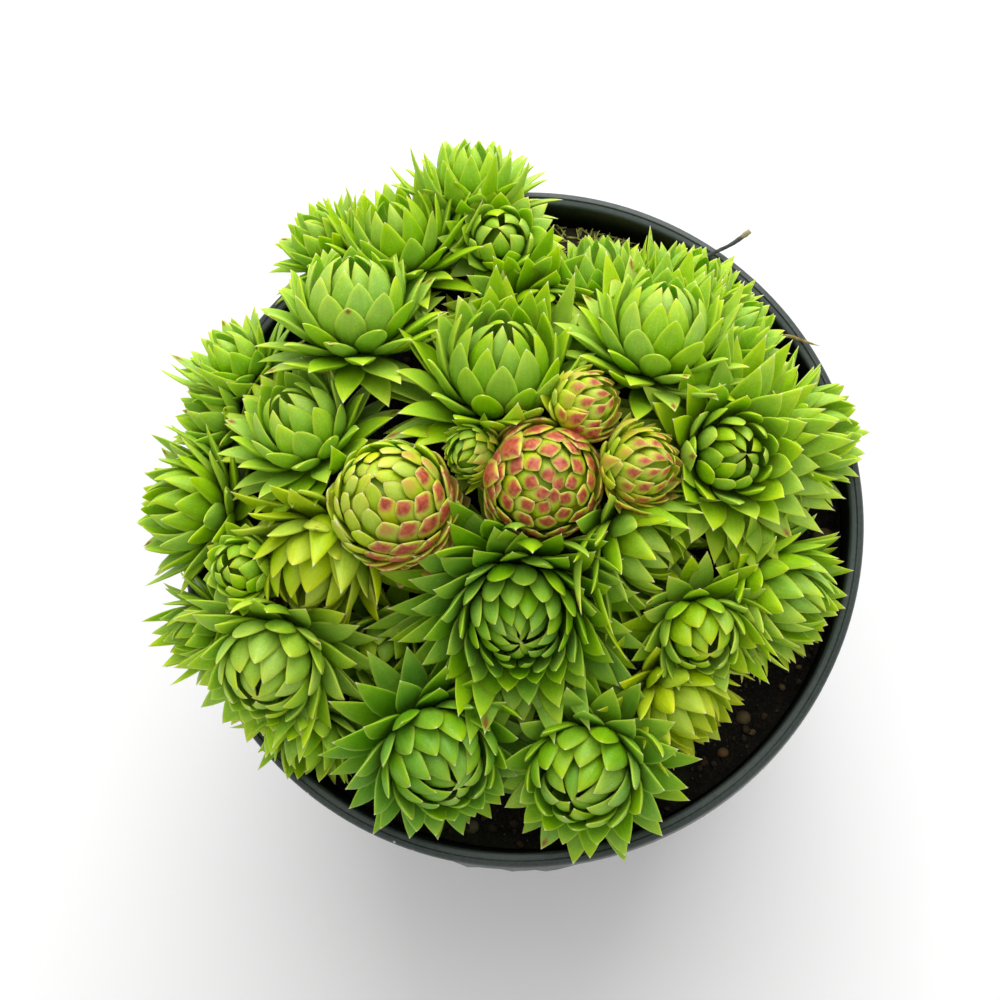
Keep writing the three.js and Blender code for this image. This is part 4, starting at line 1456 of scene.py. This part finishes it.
def heap_cushions(gathered):
    """Low dark mounds for the moss to lie on, gathered with the crumbs."""
    for index, (x, y, wide) in enumerate(CUSHIONS):
        lump = model_lump("cushion", 60 + index, 0.1, ROUNDED)
        points = lump["points"] * CUSHION_SHAPE * (wide, wide, MOSS_HIGH) + (x, y, soil_top(x, y))
        gathered.add(clear_of_wall(points), lump["faces"], NOTHING, NOTHING, NOTHING)


def grow_moss():
    """Tufts of curled strands on the cushions."""
    draw = random.Random(47)
    strand = model_straw("moss_strand", 3, MOSS_WIDTHS, MOSS_LEANS)
    gathered = Gathered()
    for _ in range(MOSS_TUFTS):
        compass, far, reach = draw.choice(MOSS_PATCHES)
        turn = math.radians(compass)
        x = far * math.cos(turn) + draw.uniform(-reach, reach)
        y = far * math.sin(turn) + draw.uniform(-reach, reach)
        tuft = draw.random()
        for _ in range(MOSS_STRANDS):
            at_x, at_y = x * MM + draw.gauss(0, TUFT_SPREAD), y * MM + draw.gauss(0, TUFT_SPREAD)
            long = MOSS_LONG * draw.uniform(0.4, 1)
            shape = strand["points"] * (MOSS_THICK, MOSS_THICK, long)
            shape[:, 0] += MOSS_CURL * strand["points"][:, 2] ** 2 * long
            lie = Matrix.Rotation(draw.uniform(0, 2 * math.pi), 3, "Z")
            tip = Matrix.Rotation(draw.uniform(0.5, 1.45), 3, "Y")
            points = shape @ np.array(lie @ tip).T
            points = points + (at_x, at_y, moss_top(at_x, at_y) + TUFT_LIFT)
            kind = (0.8 * draw.random(), tuft, 0)
            gathered.add(clear_of_wall(points), strand["faces"], NOTHING, kind, NOTHING)
    return gathered


heap_cushions(crumbs)
moss = grow_moss()
print("moss faces:", len(moss.faces))

# %% [markdown]
# ## Finishes of what lies in the pot
#
# Soil, crumbs, pebbles and moss are all dull, and differ by colour: near black,
# brown, ochre and a pale yellow green. The soil is greener where it is damp. Each
# crumb and strand stores two draws of its own, which pick its colour.

# %% Make the soil's finishes
SOIL_DARK = paint(20, 18, 13)
SOIL_LIGHT = paint(58, 48, 34)
SOIL_ALGAE = paint(58, 66, 30)
BARK = paint(74, 54, 34)
BARK_PALE = paint(112, 90, 58)
GRIT_PALE = paint(116, 104, 78)
PEBBLE_OCHRE = paint(124, 80, 42)
PEBBLE_GREY = paint(98, 90, 50)
MOSS_BROWN = paint(150, 132, 74)
MOSS_GREEN = paint(226, 232, 120)


def soil_finish():
    """Dark compost, paler on its clods and greener where it is damp."""
    compost = Finish("compost")
    where = compost.here()
    clods = compost.speckle(where, 260, 6.0, 0.65)
    grains = compost.speckle(where, 1700, 3.0)
    damp = compost.speckle(where, 60, 2.0)
    colour = compost.blend((clods * 0.6 + grains * 0.5).rise(0.5, 0.78), SOIL_DARK, SOIL_LIGHT)
    colour = compost.blend(damp.rise(0.5, 0.68) * 0.55, colour, SOIL_ALGAE)
    return compost.finish(
        Base_Color=colour,
        Roughness=0.82 + 0.15 * grains,
        Specular_IOR_Level=0.3,
        Normal=compost.bump(clods + grains * 0.6, 0.9, 0.8 * MM),
    )


def lump_finish(name, first, second, third, rough):
    """A dull finish that takes its colour from the piece's own two draws."""
    lump = Finish(name)
    draw, other, _ = lump.parts(lump.stored("kind"))
    where = lump.here()
    grain = lump.speckle(where, 1500, 4.0)
    colour = lump.blend(draw.rise(0.2, 0.9), first, second)
    colour = lump.blend(other.rise(0.86, 0.98), colour, third)
    shaded = lump.node("HueSaturation", {}, {"Value": 0.65 + 0.6 * grain, "Color": colour})
    return lump.finish(
        Base_Color=shaded,
        Roughness=rough + 0.12 * grain,
        Normal=lump.bump(grain, 0.5, 0.4 * MM),
    )


soil.data.materials.append(soil_finish())
LYING = [
    (crumbs, "soil_crumbs", lump_finish("bark_crumbs", SOIL_LIGHT, BARK, BARK_PALE, 0.8)),
    (pebbles, "soil_pebbles", lump_finish("pebbles", PEBBLE_OCHRE, PEBBLE_GREY, GRIT_PALE, 0.6)),
    (moss, "moss", lump_finish("moss_strands", MOSS_GREEN, MOSS_BROWN, BARK, 0.7)),
]
for gathered, name, finish in LYING:
    hand_over(gathered.make(name, finish))
print("lying on the soil:", [name for _, name, _ in LYING])

# %% [markdown]
# ## The dry stalk and the straw
#
# Two scraps lean over the rim at the back right: a dark, wrinkled stalk with a pale,
# thicker end, and a flat yellow straw. Both are straight straws with a width drawn
# for each cut, and are bent along a curve through six points.

# %% Model the scraps
SCRAP_SIDES = 10
SCRAP_CUTS = 40
# The points of each curve in millimetres, from inside the soil out over the rim.
STALK = [(30.2, 46.6, 102.4), (32.6, 48.2, 107.5), (34.6, 49.8, 111.9),
         (37.0, 51.4, 113.1), (40.8, 53.2, 113.2), (44.4, 55.4, 114.6)]
STRAW = [(46.5, 33.5, 102.0), (48.0, 34.6, 107.0), (49.8, 35.2, 111.9),
         (51.9, 35.0, 112.9), (54.6, 34.0, 112.9), (57.2, 33.0, 113.4)]
STALK_HALF = (0.4 * MM, 0.36 * MM)
STRAW_HALF = (0.36 * MM, 0.22 * MM)


def on_route(route, share):
    """A place on a smooth curve through points, at a share of its length."""
    points = [Vector(p) * MM for p in route]
    points = [2 * points[0] - points[1], *points, 2 * points[-1] - points[-2]]
    spans = len(route) - 1
    span = min(int(share * spans), spans - 1)
    t = share * spans - span
    a, b, c, d = points[span:span + 4]
    return 0.5 * (2 * b + (c - a) * t + (2 * a - 5 * b + 4 * c - d) * t * t
                  + (3 * b - a - 3 * c + d) * t * t * t)


def bend_scrap(blank, route, half):
    """The blank's points along a route, flat on the side that faces up."""
    points = []
    for x, y, along in blank["points"]:
        along = min(max(along, 0), 1)
        ahead = on_route(route, min(along + NUDGE, 1)) - on_route(route, max(along - NUDGE, 0))
        ahead.normalize()
        side = ahead.cross(Vector((0, 0, 1))).normalized()
        up = side.cross(ahead)
        points.append(on_route(route, along) + side * x * half[0] + up * y * half[1])
    return np.array(points)


def add_scrap(node, widths, route, half, colours):
    """A scrap in the place of its solid; half is its half width and half height."""
    blank = model_straw(node, SCRAP_SIDES, widths)
    # The bend mirrors the straw, so its faces are turned round to point outwards again.
    faces = [face[::-1] for face in blank["faces"]]
    gathered = Gathered()
    gathered.add(bend_scrap(blank, route, half), faces,
                 blank["points"][:, [0, 2, 1]], (0.5, 0.5, 0), NOTHING)
    piece = gathered.make(node + "_bent", scrap_finish(node, *colours))
    hand_over(piece, node)
    return piece


def scrap_finish(name, dark, light, end):
    """A dry finish with wrinkles along the scrap and a paler end."""
    dry = Finish(name)
    across, along, _ = dry.parts(dry.stored("place"))
    where = dry.here()
    grain = dry.speckle(where, 900, 5.0)
    fibre = dry.speckle(dry.node("CombineXYZ", {}, {0: across * 9, 1: along * 3}), 1, 3.0)
    colour = dry.blend((0.5 * grain + 0.5 * fibre).rise(0.38, 0.64), dark, light)
    colour = dry.blend((along + 0.08 * grain).rise(0.93, 0.98), colour, end)
    return dry.finish(
        Base_Color=colour,
        Roughness=0.6 + 0.25 * grain,
        Normal=dry.bump(fibre + grain * 0.5, 0.7, 0.3 * MM),
    )


STALK_COLOURS = (paint(34, 40, 42), paint(98, 104, 104), paint(176, 164, 128))
STRAW_COLOURS = (paint(104, 84, 36), paint(186, 168, 92), paint(196, 184, 120))
wrinkle = random.Random(53)
cuts = [cut / SCRAP_CUTS for cut in range(SCRAP_CUTS + 1)]
stalk_widths = [wrinkle.uniform(0.8, 1.05) * (1 + 2.7 * max(0, cut - 0.8)) for cut in cuts]
straw_widths = [wrinkle.uniform(0.9, 1.05) * min(1, 3.4 - 3.2 * cut) for cut in cuts]
stalk = add_scrap("dry_stalk", stalk_widths, STALK, STALK_HALF, STALK_COLOURS)
straw = add_scrap("dry_straw", straw_widths, STRAW, STRAW_HALF, STRAW_COLOURS)
print("scraps:", stalk.name, straw.name)
